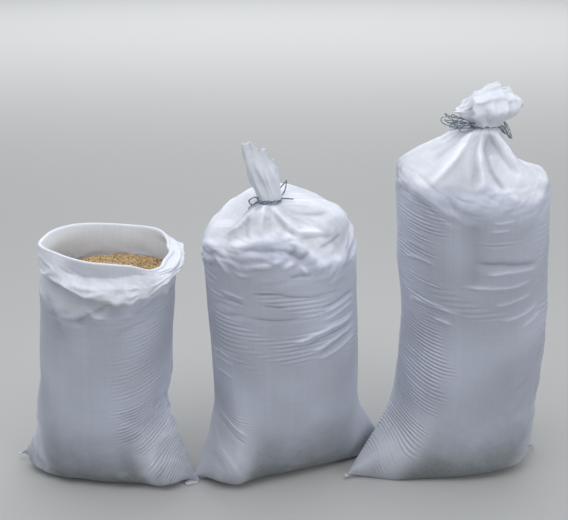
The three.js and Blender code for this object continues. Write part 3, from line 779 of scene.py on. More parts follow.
def tied_bag(cloth):
    """A tied bag's cloth: up its outside, through the neck and tuft, and back down its throat and hidden
    inside."""
    m, sack, body = cloth.m, cloth.m.sack, cloth.points
    tuft = tuft_rows(sack, m.angle, np.linspace(0, 1, TUFT_ROWS)[1:])
    rim = tuft_rows(sack, m.angle, [1], 1, CLOTH)
    throat = tuft_rows(sack, m.angle, THROAT[1:], lerp(0.25, 0.93, np.array(THROAT[1:])))
    inside = hidden_wall(m, body, cloth.height, hidden_rows(sack, sum(sack.rows) - HIDDEN_TOP), LINING)
    rows = np.concatenate([body, tuft, rim, throat, inside])
    spare = np.ones((len(rows) - len(body), COLUMNS))
    return bag_mesh(m, rows, {
        "slack": np.concatenate([cloth.slack, spare]),
        "crease": np.concatenate([cloth.crease, 0 * spare]),
        "clean": np.concatenate([ears_of(m), 0 * spare]),
    })


def mouth_ring(m):
    """The collar's curves at each column, and where round the mouth its cloth bunches up, faces the front
    and tucks in under the fold."""
    angle, c = m.angle, COLLAR
    turns, degrees = angle / math.tau, np.degrees(angle)
    bunch = np.exp(-((degrees_from(angle, c.bunch[0]) / c.bunch[1]) ** 2))
    front = smooth(80, 35, np.abs(degrees_from(angle, 275)))
    (under_from, under_full), (under_until, under_end) = c.under
    into_under = smooth(under_from, under_full, degrees)
    hem = round_curve(c.hem, angle)
    hem = hem + (0.0022 + 0.0040 * front) * wavy(turns, 26, 0.5, 102)
    hem = hem + (0.0012 + 0.0050 * front) * wavy(turns, 67, 0.5, 103)
    return SimpleNamespace(
        turns=turns, bunch=bunch, front=front, hem=hem,
        under=into_under * (1 - smooth(under_until, under_end, degrees)),
        left_of_under=smooth(170, 195, degrees) * (1 - into_under),
        rim=round_curve(c.rim, angle) + 0.0022 * wavy(turns, 17, 0.5, 101),
        bend=round_curve(c.bend, angle) * (1 + 0.30 * bunch * wavy(turns, 41, 0.5, 112)),
        lean=round_curve(c.lean, angle), stand=round_curve(c.stand, angle),
        kink=round_curve(c.kink, angle) + 0.03 * wavy(turns, 19, 0.5, 111),
    )


def flap_creases(ring, down):
    """How far the flap's creases stand out of it, and how loose it is."""
    loose = (0.35 + 0.65 * np.maximum(ring.front, ring.bunch)) * smooth(0.12, 0.80, down)
    wide = wavy(ring.turns, 23, down * 2.2 + 3, 105)
    pleats = 0.4 - np.abs(wavy(ring.turns, 31, down * 1.2, 107))
    skewed = ring.turns * 58 + 1.5 * wavy(ring.turns, 9, down * 3, 113)
    sharp = 0.4 - np.abs(uneven(skewed, down * 6, 106, 58))
    creases = loose * (0.0026 * wide + 0.0052 * pleats + (0.0036 + 0.0022 * ring.front) * sharp)
    bunched = ring.bunch * smooth(0, 0.15, down) * 0.0042 * wavy(ring.turns, 43, down * 4, 108)
    return creases + bunched, loose


def flap_rows(ring, down, start):
    """The flap from the fold down to its hem: how far off the wall, from start on, how high, and creased
    by how much."""
    flare = np.sin(np.clip((down - ring.kink) / (0.94 - ring.kink), 0, 1) * math.pi / 2)
    tucked = lerp(start, COLLAR.tuck, smooth(0, ring.kink, down)) + (ring.stand - COLLAR.tuck) * flare
    draped = start + (ring.stand - start) * down**0.9
    out = lerp(draped, tucked, ring.under) - 0.004 * ring.front * smooth(0.92, 1, down)
    creases, loose = flap_creases(ring, down)
    out = np.maximum(out + creases, lerp(start, 0.0045, smooth(0, 0.3, down)) - 0.002)
    up = lerp(ring.rim - ring.bend, ring.hem, down) + 0.0022 * loose * wavy(ring.turns, 47, down * 5, 114)
    return out, up, creases


def collar_rows(m, body):
    """The outer side of the cloth above the body: up to the fold, over it, and down the flap to its hem.
    Also the flap's painted crease shade and highlight, and the painted light through its left part, from -1
    to 1."""
    ring = mouth_ring(m)
    foot = body[-1:, :, 2]
    wall = np.linspace(0, 1, MOUTH_ROWS + 1)[1:, None]
    tall = ring.rim - ring.bend - foot
    wall_out = (ring.lean + 0.006 * ring.front) * smooth(0, 1, wall)
    wall_out = wall_out + 0.005 * ring.bunch * wavy(ring.turns, 37, wall * 2, 109) * smooth(0.1, 0.8, wall)
    over = np.linspace(0, math.pi, FOLD_ROWS)[1:-1, None]
    over_out = ring.bend * (1 - np.cos(over)) + wall_out[-1:]
    over_up = ring.rim - ring.bend + ring.bend * np.sin(over)
    down = np.linspace(0, 1, FLAP_ROWS)[:, None]
    flap_out, flap_up, creases = flap_rows(ring, down, 2 * ring.bend + wall_out[-1:])

    flat = m.normals[-1:, :, :2]
    flat = flat / np.linalg.norm(flat, axis=-1, keepdims=True)
    out = np.concatenate([wall_out, over_out, flap_out])
    up = np.concatenate([foot + tall * wall, over_up, flap_up])
    drift = body[-1:] - body[-5:-4]
    drift = drift[..., :2] / np.maximum(drift[..., 2:], 1e-4)
    carried = np.concatenate([wall - wall**2 / 2, 0 * over + 0.5, 0 * down + 0.5])
    shift = drift * (tall * carried)[..., None]
    points = np.concatenate([body[-1:, :, :2] + shift + flat * out[..., None], up[..., None]], -1)
    shone_through = ring.left_of_under * smooth(1.1, 0.5, down)
    tone = 0.6 * creases / FULL_CREASE + 0.8 * shone_through
    return points, np.clip(np.concatenate([0 * wall_out, 0 * over_out, tone]), -1, 1)


def lowest_near(height):
    """The lowest of the heights around each point."""
    rows, columns = 12, 4
    padded = np.pad(height, ((rows, rows), (0, 0)), mode="edge")
    lowest = height
    for i in range(0, 2 * rows + 1, 3):
        lowest = np.minimum(lowest, padded[i : i + len(height)])
    result = lowest
    for j in range(-columns, columns + 1, 2):
        result = np.minimum(result, np.roll(lowest, j, axis=1))
    return result


def hidden_wall(m, body, height, rows, depth):
    """Rows of points hidden inside a bag's cloth, deeper than the creases around each of them."""
    depths = height - lowest_near(height) + depth
    return body[rows] - m.normals[rows] * depths[rows][..., None]


def open_cloth(sack, relief):
    """The outer side of the open bag's cloth, from the foot to the flap's hem, and what its finish reads."""
    m, height, slack, crease = cloth_body(sack, relief)
    body = m.points + m.normals * height[..., None]
    body[..., 2] = np.maximum(body[..., 2], 0)
    collar, collar_shading = collar_rows(m, body)
    return SimpleNamespace(
        m=m, body=len(body), height=height, points=np.concatenate([body, collar]),
        slack=np.concatenate([slack, np.ones(collar.shape[:2])]),
        crease=np.concatenate([crease, collar_shading]),
    )


def hidden_rows(sack, highest):
    """The few rows that a bag's hidden inside is made from, downwards, closer together in its dome."""
    rows = [highest]
    while rows[-1] > sack.rows[0] // 4 + INNER_STEP:
        rows.append(rows[-1] - (DOME_STEP if rows[-1] > sum(sack.rows[:2]) else INNER_STEP))
    return rows


def wall_depth(body):
    """How far the open bag's inner side lies inside its outer one: a cloth's thickness near the mouth."""
    return lerp(CLOTH, LINING, smooth(*WALL_THICKENS, body[..., 2]))


def shown_from(sack):
    """The row of the open bag from which its inner side follows its outer one closely."""
    return int(sum(sack.rows) * SHOWN_SHARE)


def open_bag(cloth):
    """The open bag's cloth: up its outside, over the fold, down the flap and round its hem, then all the way
    back along its other side to the foot."""
    m, outside, body = cloth.m, cloth.points, cloth.points[: cloth.body]
    deep = np.full(outside.shape[:2], CLOTH)
    deep[: cloth.body] = wall_depth(body)
    inner = outside - normals_of(outside) * deep[..., None]
    shown = shown_from(m.sack)
    hidden = hidden_wall(m, body, cloth.height, hidden_rows(m.sack, shown - INNER_STEP), LINING)
    inside = np.concatenate([inner[shown:][::-1], hidden])
    rows = np.concatenate([outside, inside])
    flap = np.arange(len(outside))[shown:][::-1, None] > cloth.body + MOUTH_ROWS
    flap = np.concatenate([flap, np.zeros((len(hidden), 1), bool)])
    # Painted light: the inner wall grows lighter towards the top of the mouth, and more so near the fold.
    lit = smooth(0.545, 0.610, inside[..., 2])
    painted_light_near_fold = 0.8 * smooth(0.580, 0.635, inside[..., 2])
    clean = np.zeros(rows.shape[:2])
    clean[: cloth.body] = ears_of(m)
    return bag_mesh(m, rows, {
        "slack": np.concatenate([cloth.slack, np.where(flap, 1, 0.6 + 0.4 * lit)]),
        "crease": np.concatenate([cloth.crease, np.where(flap, 0, painted_light_near_fold)]),
        "clean": clean,
        "inside": np.concatenate([0 * cloth.slack, np.where(flap, 0, lit)]),
    })


# The wheat.
def hidden_fill(cloth):
    """The wheat in a tied bag, inside its lining, with every second column of the bag's."""
    sack = cloth.m.sack
    rows = [row for row in hidden_rows(sack, sum(sack.rows) - HIDDEN_TOP) if row < sum(sack.rows[:2])]
    points = hidden_wall(cloth.m, cloth.points, cloth.height, rows, LINING + FILL_GAP)[::-1, ::2]
    peak = points[-1:].mean(1, keepdims=True) + np.array([0, 0, 0.01])
    crown = [lerp(points[-1:], peak, share) for share in (0.3, 0.6, 0.85)]
    rows = np.concatenate([points, *crown])
    return mesh_from_rows(sack.name + "_wheat", placed(sack, rows), "seam", "fan")


def ring_at(rows, heights):
    """One ring across rows of points near the mouth, at a height of its own in each column."""
    upper = rows[len(rows) // 2 :]
    ring = [[np.interp(z, upper[:, i, 2], upper[:, i, k]) for k in (0, 1)] for i, z in enumerate(heights)]
    return np.concatenate([np.array(ring), np.asarray(heights)[:, None]], -1)[None]


def heap(cloth):
    """The wheat in the open bag: a hidden core inside the cloth, and the heap that shows in its mouth."""
    m, body, angle = cloth.m, cloth.points[: cloth.body], cloth.m.angle
    normals = normals_of(body)
    core_rows = hidden_rows(m.sack, shown_from(m.sack) - INNER_STEP)
    core = hidden_wall(m, body, cloth.height, core_rows, LINING + HEAP_GAP)
    edge_z = round_curve(HEAP.edge, angle)[0]
    wall = body - normals * (wall_depth(body) + HEAP_GAP)[..., None]
    shares = np.linspace(0, 1, HEAP.side_rows)
    near_top = [ring_at(wall, lerp(HEAP.core_top, edge_z - 0.004, share)) for share in shares]
    edge = ring_at(body - normals * (CLOTH + 0.0002), edge_z)
    peak = np.array([*HEAP.at, HEAP.peak])
    share = np.linspace(0, 1, HEAP.rows)[:-1, None, None] ** 1.1
    slope = edge + (peak - edge) * share
    climb = 1 - (1 - share[..., 0]) ** 1.5
    lump, lump_height = HEAP.lump
    across, away = slope[..., 0] / lump + 20, slope[..., 1] / lump + 20
    rough = uneven(across, away, 121) + 0.6 * uneven(across * 2.3, away * 2.3, 122)
    rough = lump_height * rough * smooth(0, 0.1, share[..., 0])
    slope[..., 2] = lerp(edge_z[None], HEAP.peak, climb) + rough
    rows = np.concatenate([core[::-1], *near_top, slope])
    return mesh_from_rows(m.sack.name + "_wheat", placed(m.sack, rows), "seam", "fan")


def kernel_mesh():
    """One grain of wheat, plump in the middle."""
    length, width, sides = 0.0062, 0.0033, 6
    points = [(-length / 2, 0, 0)]
    for x, size in ((-0.27, 0.86), (0.22, 1.0)):
        for i in range(sides):
            turn = math.tau * (i + 0.5) / sides
            y, z = size * width / 2 * math.cos(turn), size * width * 0.46 * math.sin(turn)
            points.append((x * length, y, z))
    points.append((length / 2, 0, 0))
    last = len(points) - 1
    faces = []
    for i in range(sides):
        j = (i + 1) % sides
        faces.append((0, 1 + j, 1 + i))
        faces.append((1 + i, 1 + j, 1 + sides + j, 1 + sides + i))
        faces.append((last, 1 + sides + i, 1 + sides + j))
    return smooth_mesh("kernel", points, faces)


# Nodes, for geometry and for materials.
def node_group(name, inputs, outputs, kind="ShaderNodeTree"):
    """A node group with its inputs (label, kind, value) and outputs (label, kind), and its two ends."""
    tree = bpy.data.node_groups.new(name, kind)
    for label, socket_kind, value in inputs:
        socket = tree.interface.new_socket(label, in_out="INPUT", socket_type="NodeSocket" + socket_kind)
        if value is not None:
            socket.default_value = value
    for label, socket_kind in outputs:
        tree.interface.new_socket(label, in_out="OUTPUT", socket_type="NodeSocket" + socket_kind)
    return tree, tree.nodes.new("NodeGroupInput").outputs, tree.nodes.new("NodeGroupOutput").inputs


def feed(tree, source, socket):
    """Sets a socket to a value, or links it to another socket."""
    if isinstance(source, bpy.types.NodeSocket):
        tree.links.new(source, socket)
    elif source is not None:
        socket.default_value = source


def added(tree, kind, inputs, **settings):
    """A new node's outputs. Its inputs are fed from values or sockets, by label or number."""
    node = tree.nodes.new(kind)
    for label, value in settings.items():
        setattr(node, label, value)
    for label, source in inputs.items():
        feed(tree, source, node.inputs[label])
    return node.outputs


def maths(tree, operation, first, second=None, clamp=False):
    return added(tree, "ShaderNodeMath", {0: first, 1: second}, operation=operation, use_clamp=clamp)[0]


def greater(tree, value, least):
    """True where a value is greater than another."""
    inputs = {0: value, 1: least}
    return added(tree, "FunctionNodeCompare", inputs, data_type="FLOAT", operation="GREATER_THAN")[0]


def random_number(tree, seed, low, high, step):
    inputs = {2: low, 3: high, "Seed": maths(tree, "ADD", seed, step)}
    return added(tree, "FunctionNodeRandomValue", inputs, data_type="FLOAT")[1]


def random_vector(tree, seed, low, high, step):
    inputs = {0: low, 1: high, "Seed": maths(tree, "ADD", seed, step)}
    return added(tree, "FunctionNodeRandomValue", inputs, data_type="FLOAT_VECTOR")[0]


def upward(tree, vector):
    """The Z of a vector."""
    return added(tree, "ShaderNodeSeparateXYZ", {0: vector})["Z"]


def laid_on(tree, spots, rotation, source, scale):
    """Copies of an object on points, as instances."""
    piece = added(tree, "GeometryNodeObjectInfo", {"Object": source})["Geometry"]
    inputs = {"Points": spots, "Instance": piece, "Rotation": rotation, "Scale": scale}
    return added(tree, "GeometryNodeInstanceOnPoints", inputs)[0]


def as_solid(tree, instances, material, result):
    """Ends a tree with its instances made solid geometry in a material."""
    solid = added(tree, "GeometryNodeRealizeInstances", {0: instances})[0]
    finish = added(tree, "GeometryNodeSetMaterial", {"Geometry": solid, "Material": material})[0]
    feed(tree, finish, result["Geometry"])


def scatter_tree(material):
    """Scatters one object's copies over the upward faces of a mesh, lying at random, as solid geometry."""
    tree, given, result = node_group(
        "scattered kernels",
        (
            ("Geometry", "Geometry", None), ("Kernel", "Object", None), ("Spacing", "Float", 0.0034),
            ("Lowest Height", "Float", 0.54), ("Tilt", "Float", 0.45), ("Seed", "Int", 7),
        ),
        (("Geometry", "Geometry"),), "GeometryNodeTree",
    )
    seed = given["Seed"]
    normal = added(tree, "GeometryNodeInputNormal", {})[0]
    place = added(tree, "GeometryNodeInputPosition", {})[0]
    facing_up = greater(tree, upward(tree, normal), 0.5)
    high = greater(tree, upward(tree, place), given["Lowest Height"])
    both = added(tree, "FunctionNodeBooleanMath", {0: facing_up, 1: high})[0]
    spots = added(tree, "GeometryNodeDistributePointsOnFaces", {
        "Mesh": given["Geometry"], "Selection": both, "Distance Min": given["Spacing"],
        "Density Max": 260000, "Seed": seed,
    }, distribute_method="POISSON")
    sizes = random_vector(tree, seed, (0.88, 0.85, 0.85), (1.14, 1.12, 1.12), 1)
    lying = laid_on(tree, spots["Points"], spots["Rotation"], given["Kernel"], sizes)
    tilts = {
        axis: maths(tree, "MULTIPLY", random_number(tree, seed, -1, 1, step), given["Tilt"])
        for axis, step in (("X", 2), ("Y", 3))
    }
    swing = added(tree, "ShaderNodeCombineXYZ", {**tilts, "Z": random_number(tree, seed, 0, 6.283, 4)})[0]
    turned = added(tree, "GeometryNodeRotateInstances", {"Instances": lying, "Rotation": swing})[0]
    tone = {"Name": "tone", "Geometry": turned, "Value": random_number(tree, seed, 0, 1, 5)}
    toned = added(tree, "GeometryNodeStoreNamedAttribute", tone, domain="INSTANCE")[0]
    as_solid(tree, toned, material, result)
    return tree


def grown(name, base_mesh, tree, settings):
    """The plain mesh that a geometry tree makes from a mesh, as a new object."""
    carrier = add_object(name + "_carrier", base_mesh)
    modifier = carrier.modifiers.new("grow", "NODES")
    modifier.node_group = tree
    identifiers = {s.name: s.identifier for s in tree.interface.items_tree if s.in_out == "INPUT"}
    for label, value in settings.items():
        modifier[identifiers[label]] = value
    depsgraph = bpy.context.evaluated_depsgraph_get()
    mesh = bpy.data.meshes.new_from_object(carrier.evaluated_get(depsgraph), depsgraph=depsgraph)
    mesh.name = name
    carrier.modifiers.remove(modifier)
    bpy.data.objects.remove(carrier)
    return add_object(name, mesh)


# The ties.
def bearings(degrees):
    """The level direction at an angle, and the one a quarter turn to its left."""
    ahead = np.array([math.cos(math.radians(degrees)), math.sin(math.radians(degrees)), 0.0])
    return ahead, np.array([-ahead[1], ahead[0], 0.0])


def beside_neck(sack, level, out):
    """A point at a level above a sack's neck, and out from its middle."""
    return np.array([sack.neck[0], sack.neck[1], sack.neck[2] + level]) + out


def twine(name, strands, thickness, plies, twist):
    """A plied twine's mesh along several paths of points, each strand closed at both ends."""
    sides = 9
    points, faces, lengths = [], [], []
    for path in strands:
        path = np.asarray(path, float)
        tangent = np.gradient(path, axis=0)
        tangent /= np.linalg.norm(tangent, axis=1, keepdims=True)
        travelled = np.concatenate([[0], np.cumsum(np.linalg.norm(np.diff(path, axis=0), axis=1))])
        side = np.cross(tangent[0], (0.1, 0.2, 0.97))
        base = len(points)
        for i, (middle, ahead) in enumerate(zip(path, tangent)):
            side = side - ahead * side.dot(ahead)
            side /= np.linalg.norm(side)
            other = np.cross(ahead, side)
            end = min(i, len(path) - 1 - i)
            taper = min(1, 0.55 + 0.45 * end / 3)
            for k in range(sides):
                turn = math.tau * k / sides
                lay = turn + travelled[i] * twist
                radius = thickness / 2 * taper * (1 + 0.17 * math.cos(plies * lay))
                points.append(middle + radius * (side * math.cos(turn) + other * math.sin(turn)))
                lengths.append(travelled[i])
        for i in range(len(path) - 1):
            for k in range(sides):
                a, b = base + i * sides + k, base + i * sides + (k + 1) % sides
                faces.append((a, b, b + sides, a + sides))
        faces.append(tuple(range(base, base + sides))[::-1])
        last = base + (len(path) - 1) * sides
        faces.append(tuple(range(last, last + sides)))
    mesh = smooth_mesh(name, [tuple(p) for p in points], faces)
    mesh.attributes.new("along", "FLOAT", "POINT").data.foreach_set("value", np.array(lengths, np.float32))
    return mesh


def wound(sack, level, radius, turns, pitch, start):
    """The tie's turns round the neck, in the sack's frame."""
    tuft = TUFTS[sack.name]
    angle = np.radians(start) + np.linspace(0, turns * math.tau, int(turns * 90))
    wave = radius + 0.0007 * np.sin(angle * 5 + 1) + 0.0005 * np.sin(angle * 8.3)
    drift = level / tuft.height
    x = sack.neck[0] + along(tuft.lean, drift) + wave * np.cos(angle)
    y = sack.neck[1] + along(tuft.tilt, drift) + wave * np.sin(angle)
    z = sack.neck[2] + level + pitch * angle / math.tau - pitch * math.radians(start) / math.tau
    return np.stack([x, y, z + 0.0006 * np.sin(angle * 3)], -1)


def bow(sack, level, radius, toward, length, width, tilt, sag, seed, opening=0.0):
    """A loop of twine that leaves the neck at an angle and comes back, or a loose end where opening is 1."""
    outward, level_side = bearings(toward)
    across = level_side * math.cos(math.radians(tilt)) + UP * math.sin(math.radians(tilt))
    t = np.linspace(0, 1 - 0.5 * opening, 70)
    swing = math.tau * t
    out = length / 2 * (1 - np.cos(swing))
    aside = width / 2 * np.sin(swing) * (1 + 0.25 * np.cos(swing)) * (1 - 0.6 * opening)
    phase = np.random.default_rng(seed).uniform(0, RANDOM_PHASE, 4)
    wiggle = 0.03 * length * np.sin(swing * 2 + phase[0]) + 0.02 * length * np.sin(swing * 3.7 + phase[1])
    rise = 0.04 * length * np.sin(swing * 1.5 + phase[2]) * smooth(0, 0.2, t)
    root = beside_neck(sack, level, outward * radius)
    path = root + np.outer(out, outward) + np.outer(aside + wiggle * smooth(0, 0.15, t), across)
    path[:, 2] += rise - sag * (out / length) ** 2
    return path


def knot(sack, level, radius, toward, size, seed):
    """A small tight knot on the neck's outside."""
    phase = np.random.default_rng(seed).uniform(0, RANDOM_PHASE, 3)
    t = np.linspace(0, math.tau, 80)
    outward, across = bearings(toward)
    aside = size * (np.sin(t) + 0.6 * np.sin(2 * t + phase[0]))
    up = size * (np.cos(t) - 0.6 * np.cos(2 * t + phase[1]))
    out = size * 0.7 * np.sin(3 * t + phase[2])
    middle = beside_neck(sack, level, outward * (radius + 0.0015))
    return middle + np.outer(aside, across) + np.outer(up, UP) + np.outer(out, outward)


LOOSE_END = (0.010, 20)  # how wide the curve of a loose end is, and its tilt in degrees


def bunches(sack, level, radius, loops, ends, seed):
    """Several loops and loose ends of twine. Loops are (toward, length, width, tilt, sag), and loose ends
    are (toward, length, sag)."""
    strands = []
    for i, (toward, length, width, tilt, sag) in enumerate(loops):
        strands.append(bow(sack, level, radius, toward, length, width, tilt, sag, seed + i))
    width, tilt = LOOSE_END
    for i, (toward, length, sag) in enumerate(ends):
        strands.append(bow(sack, level, radius, toward, length, width, tilt, sag, seed + 20 + i, 1))
    return strands


def medium_tie():
    level, radius = 0.0055, 0.0295
    strands = [
        wound(MEDIUM, level - 0.001, radius, turns=2.3, pitch=0.0022, start=170),
        knot(MEDIUM, level, radius, toward=197, size=0.0024, seed=1),
    ]
    loops = ((192, 0.027, 0.018, 80, -0.002), (34, 0.040, 0.014, 60, -0.029))
    ends = ((205, 0.040, 0.008), (216, 0.028, 0.004), (338, 0.028, 0.003), (66, 0.046, -0.014))
    strands += bunches(MEDIUM, level + 0.002, radius, loops, ends, 2)
    paths = [placed(MEDIUM, s) for s in strands]
    return twine("medium_twine", paths, thickness=0.0033, plies=2, twist=1150)


def large_tie():
    level, radius = 0.0045, 0.0305
    strands = [
        wound(LARGE, level - 0.001, radius, turns=3.2, pitch=0.0018, start=150),
        knot(LARGE, level, radius, toward=176, size=0.0030, seed=11),
        knot(LARGE, level, radius, toward=4, size=0.0026, seed=12),
    ]
    left = (
        (150, 0.066, 0.022, 50, -0.022), (160, 0.074, 0.026, 70, -0.012), (170, 0.070, 0.020, 40, -0.016),
        (178, 0.060, 0.026, 80, -0.006), (166, 0.052, 0.028, 62, -0.020), (186, 0.066, 0.022, 35, -0.008),
        (194, 0.048, 0.024, 75, 0.000), (156, 0.058, 0.018, 20, -0.004), (174, 0.042, 0.026, 88, -0.012),
    )
    right = (
        (24, 0.040, 0.026, 70, 0.026), (8, 0.044, 0.024, 80, 0.038), (356, 0.038, 0.026, 65, 0.034),
        (34, 0.046, 0.022, 50, 0.018), (14, 0.034, 0.028, 85, 0.022), (20, 0.048, 0.018, 60, 0.032),
    )
    ends = ((146, 0.050, -0.008), (182, 0.062, 0.004), (2, 0.036, 0.036), (18, 0.034, 0.028))
    strands += bunches(LARGE, level, radius, left + right, ends, 20)
    paths = [placed(LARGE, s) for s in strands]
    return twine("large_twine", paths, thickness=0.0019, plies=2, twist=1250)


# Under each ear of a sack the end of its bottom hem sticks out, folded double and stitched: (sack, side,
# degrees in the sack's frame, length, width, how far it curls up).
TAB_THICKNESS = 0.0028
HEM_TABS = (
    (SMALL, 1, 210, 0.036, 0.018, 0.001), (SMALL, -1, 176, 0.014, 0.012, 0.002),
    (MEDIUM, 1, 330, 0.014, 0.014, 0.003), (MEDIUM, -1, 214, 0.018, 0.016, 0.002),
    (LARGE, 1, 330, 0.005, 0.014, 0.001), (LARGE, -1, 168, 0.010, 0.016, 0.002),
)


def hem_tab(sack, side, turn, length, width, curl):
    """A tab's rings of points outwards, and the line that its stitches follow, in the sack's frame."""
    lift = sack.lift[0 if side > 0 else 1]
    start = np.array([along(sack.lean, lift) + side * (sack.half_seam - 0.004), 0.0, 0.0])
    ahead, aside = bearings(turn)
    travel = np.linspace(0, 1, 10)[:, None, None]
    swing = np.linspace(0, math.tau, 18, endpoint=False)[None, :, None]
    blunt = 1 - 0.35 * smooth(0.8, 1, travel)
    across = np.sign(np.cos(swing)) * np.abs(np.cos(swing)) ** 0.5 * width / 2
    across = across * (0.82 + 0.18 * travel) * blunt
    thick = np.sign(np.sin(swing)) * np.abs(np.sin(swing)) ** 0.8 * TAB_THICKNESS / 2 * blunt
    ripple = np.abs(0.0008 * np.sin(travel * 5 + across * 300))
    base = max(0.0, lift - 0.004) * (1 - 0.35 * travel) + TAB_THICKNESS / 2 + 0.0004 + curl * travel**2
    rings = start + ahead * travel * length + aside * across + UP * (base + thick + ripple)
    seam = rings[1:-1, [4, 5]].mean(1) + 0.0003 * UP
    return rings, seam


def stitch_mesh():
    """One stitch of thread, along X."""
    sides, length, radius = 6, 0.005, 0.0006
    points = []
    for x, size in ((-0.5, 0.35), (-0.3, 1.0), (0.3, 1.0), (0.5, 0.35)):
        for i in range(sides):
            turn = math.tau * i / sides
            points.append((x * length, radius * size * math.cos(turn), radius * size * math.sin(turn)))
    rings = [range(k * sides, (k + 1) * sides) for k in range(4)]
    faces = [tuple(rings[0])[::-1], tuple(rings[-1])]
    for near, far in zip(rings, rings[1:]):
        faces += [(near[i], near[(i + 1) % sides], far[(i + 1) % sides], far[i]) for i in range(sides)]
    return smooth_mesh("stitch", points, faces)


def stitch_tree(material):
    """Lays one object's copies end to end along the edges of a mesh, as solid geometry."""
    tree, given, result = node_group(
        "row of stitches",
        (
            ("Geometry", "Geometry", None), ("Stitch", "Object", None), ("Spacing", "Float", 0.0062),
            ("Seed", "Int", 3),
        ),
        (("Geometry", "Geometry"),), "GeometryNodeTree",
    )
    lines = added(tree, "GeometryNodeMeshToCurve", {"Mesh": given["Geometry"]})[0]
    steps = {"Curve": lines, "Length": given["Spacing"]}
    spots = added(tree, "GeometryNodeCurveToPoints", steps, mode="LENGTH")
    turn = added(tree, "FunctionNodeAlignRotationToVector", {"Vector": spots["Tangent"]}, axis="X")[0]
    sizes = random_vector(tree, given["Seed"], (0.85, 0.9, 0.9), (1.1, 1.2, 1.2), 1)
    as_solid(tree, laid_on(tree, spots["Points"], turn, given["Stitch"], sizes), material, result)
    return tree


def hem_tabs(cloth_finish, thread_finish):
    """The tabs of every ear, and one object with all of their stitches."""
    pieces, points, edges = [], [], []
    for sack, side, *shape in HEM_TABS:
        rings, seam = hem_tab(sack, side, *shape)
        name = f"{sack.name}_hem_{'right' if side > 0 else 'left'}"
        every = np.ones(rings.shape[:2])
        values = {"slack": every, "crease": 0 * every, "clean": every}
        around = np.linspace(0, 2 * shape[2], rings.shape[1] + 1)
        climb = np.linspace(0, shape[1], len(rings))[:, None]
        mesh = mesh_from_rows(name, placed(sack, rings), "fan", "fan", around, climb, values)
        pieces.append(add_object(name, mesh, cloth_finish))
        line = placed(sack, seam)
        edges += [(len(points) + i, len(points) + i + 1) for i in range(len(line) - 1)]
        points += line.tolist()
    lines = bpy.data.meshes.new("stitch lines")
    lines.from_pydata(points, edges, [])
    stitch = add_object("stitch", stitch_mesh())
    pieces.append(grown("hem_stitches", lines, stitch_tree(thread_finish), {"Stitch": stitch}))
    bpy.data.objects.remove(stitch)
    return pieces


# Materials.
def ranged(tree, value, low, high, new_low=0.0, new_high=1.0, curve="SMOOTHSTEP"):
    inputs = {"Value": value, "From Min": low, "From Max": high, "To Min": new_low, "To Max": new_high}
    return added(tree, "ShaderNodeMapRange", inputs, interpolation_type=curve)["Result"]


def noise(tree, vector, scale, detail, roughness):
    inputs = {"Vector": vector, "Scale": scale, "Detail": detail, "Roughness": roughness}
    return added(tree, "ShaderNodeTexNoise", inputs)["Fac"]


def blended(tree, share, first, second, mode="MIX"):
    inputs = {0: share, 6: first, 7: second}
    return added(tree, "ShaderNodeMix", inputs, data_type="RGBA", blend_type=mode)[2]


def blended_numbers(tree, share, first, second):
    return added(tree, "ShaderNodeMix", {0: share, 2: first, 3: second}, data_type="FLOAT")[0]


def shaded(tree, color, tone):
    """A colour made lighter or darker by a number."""
    grey = added(tree, "ShaderNodeCombineColor", {0: tone, 1: tone, 2: tone})[0]
    return blended(tree, 1.0, color, grey, "MULTIPLY")


def attribute(tree, name):
    return added(tree, "ShaderNodeAttribute", {}, attribute_name=name)["Fac"]


def object_place(tree):
    return added(tree, "ShaderNodeTexCoord", {})["Object"]


def bump(tree, height, distance, strength, shader, below=None):
    inputs = {"Distance": distance, "Strength": strength, "Height": height, "Normal": below}
    normal = added(tree, "ShaderNodeBump", inputs)[0]
    feed(tree, normal, shader["Normal"])
    return normal


def use_group(tree, group, **inputs):
    return added(tree, "ShaderNodeGroup", inputs, node_tree=group)


def weave_group():
    """Flat tapes woven over and under each other. The vector is in metres of cloth."""
    tree, given, result = node_group(
        "tape weave",
        (("Vector", "Vector", None), ("Tape Width", "Float", TAPE)),
        (("Height", "Float"), ("Tone", "Float")),
    )
    parts = added(tree, "ShaderNodeSeparateXYZ", {0: given["Vector"]})
    cells, profiles, arches, tones = [], [], [], []
    for axis, start in (("X", 0.5), ("Y", 917.5)):
        place = maths(tree, "DIVIDE", parts[axis], given["Tape Width"])
        cell = maths(tree, "FLOOR", place)
        across = maths(tree, "SUBTRACT", maths(tree, "FRACT", place), 0.5)
        cells.append(cell)
        profiles.append(ranged(tree, maths(tree, "ABSOLUTE", across), 0.5, 0.34))
        arches.append(maths(tree, "COSINE", maths(tree, "MULTIPLY", across, 2.6)))
        chance = {"W": maths(tree, "ADD", cell, start)}
        tones.append(added(tree, "ShaderNodeTexWhiteNoise", chance, noise_dimensions="1D")["Value"])
    parity = maths(tree, "PINGPONG", maths(tree, "ADD", cells[0], cells[1]), 1.0)
    warp = maths(tree, "MULTIPLY", profiles[0], arches[1])
    weft = maths(tree, "MULTIPLY", profiles[1], arches[0])
    feed(tree, blended_numbers(tree, parity, warp, weft), result["Height"])
    feed(tree, blended_numbers(tree, parity, tones[0], tones[1]), result["Tone"])
    return tree


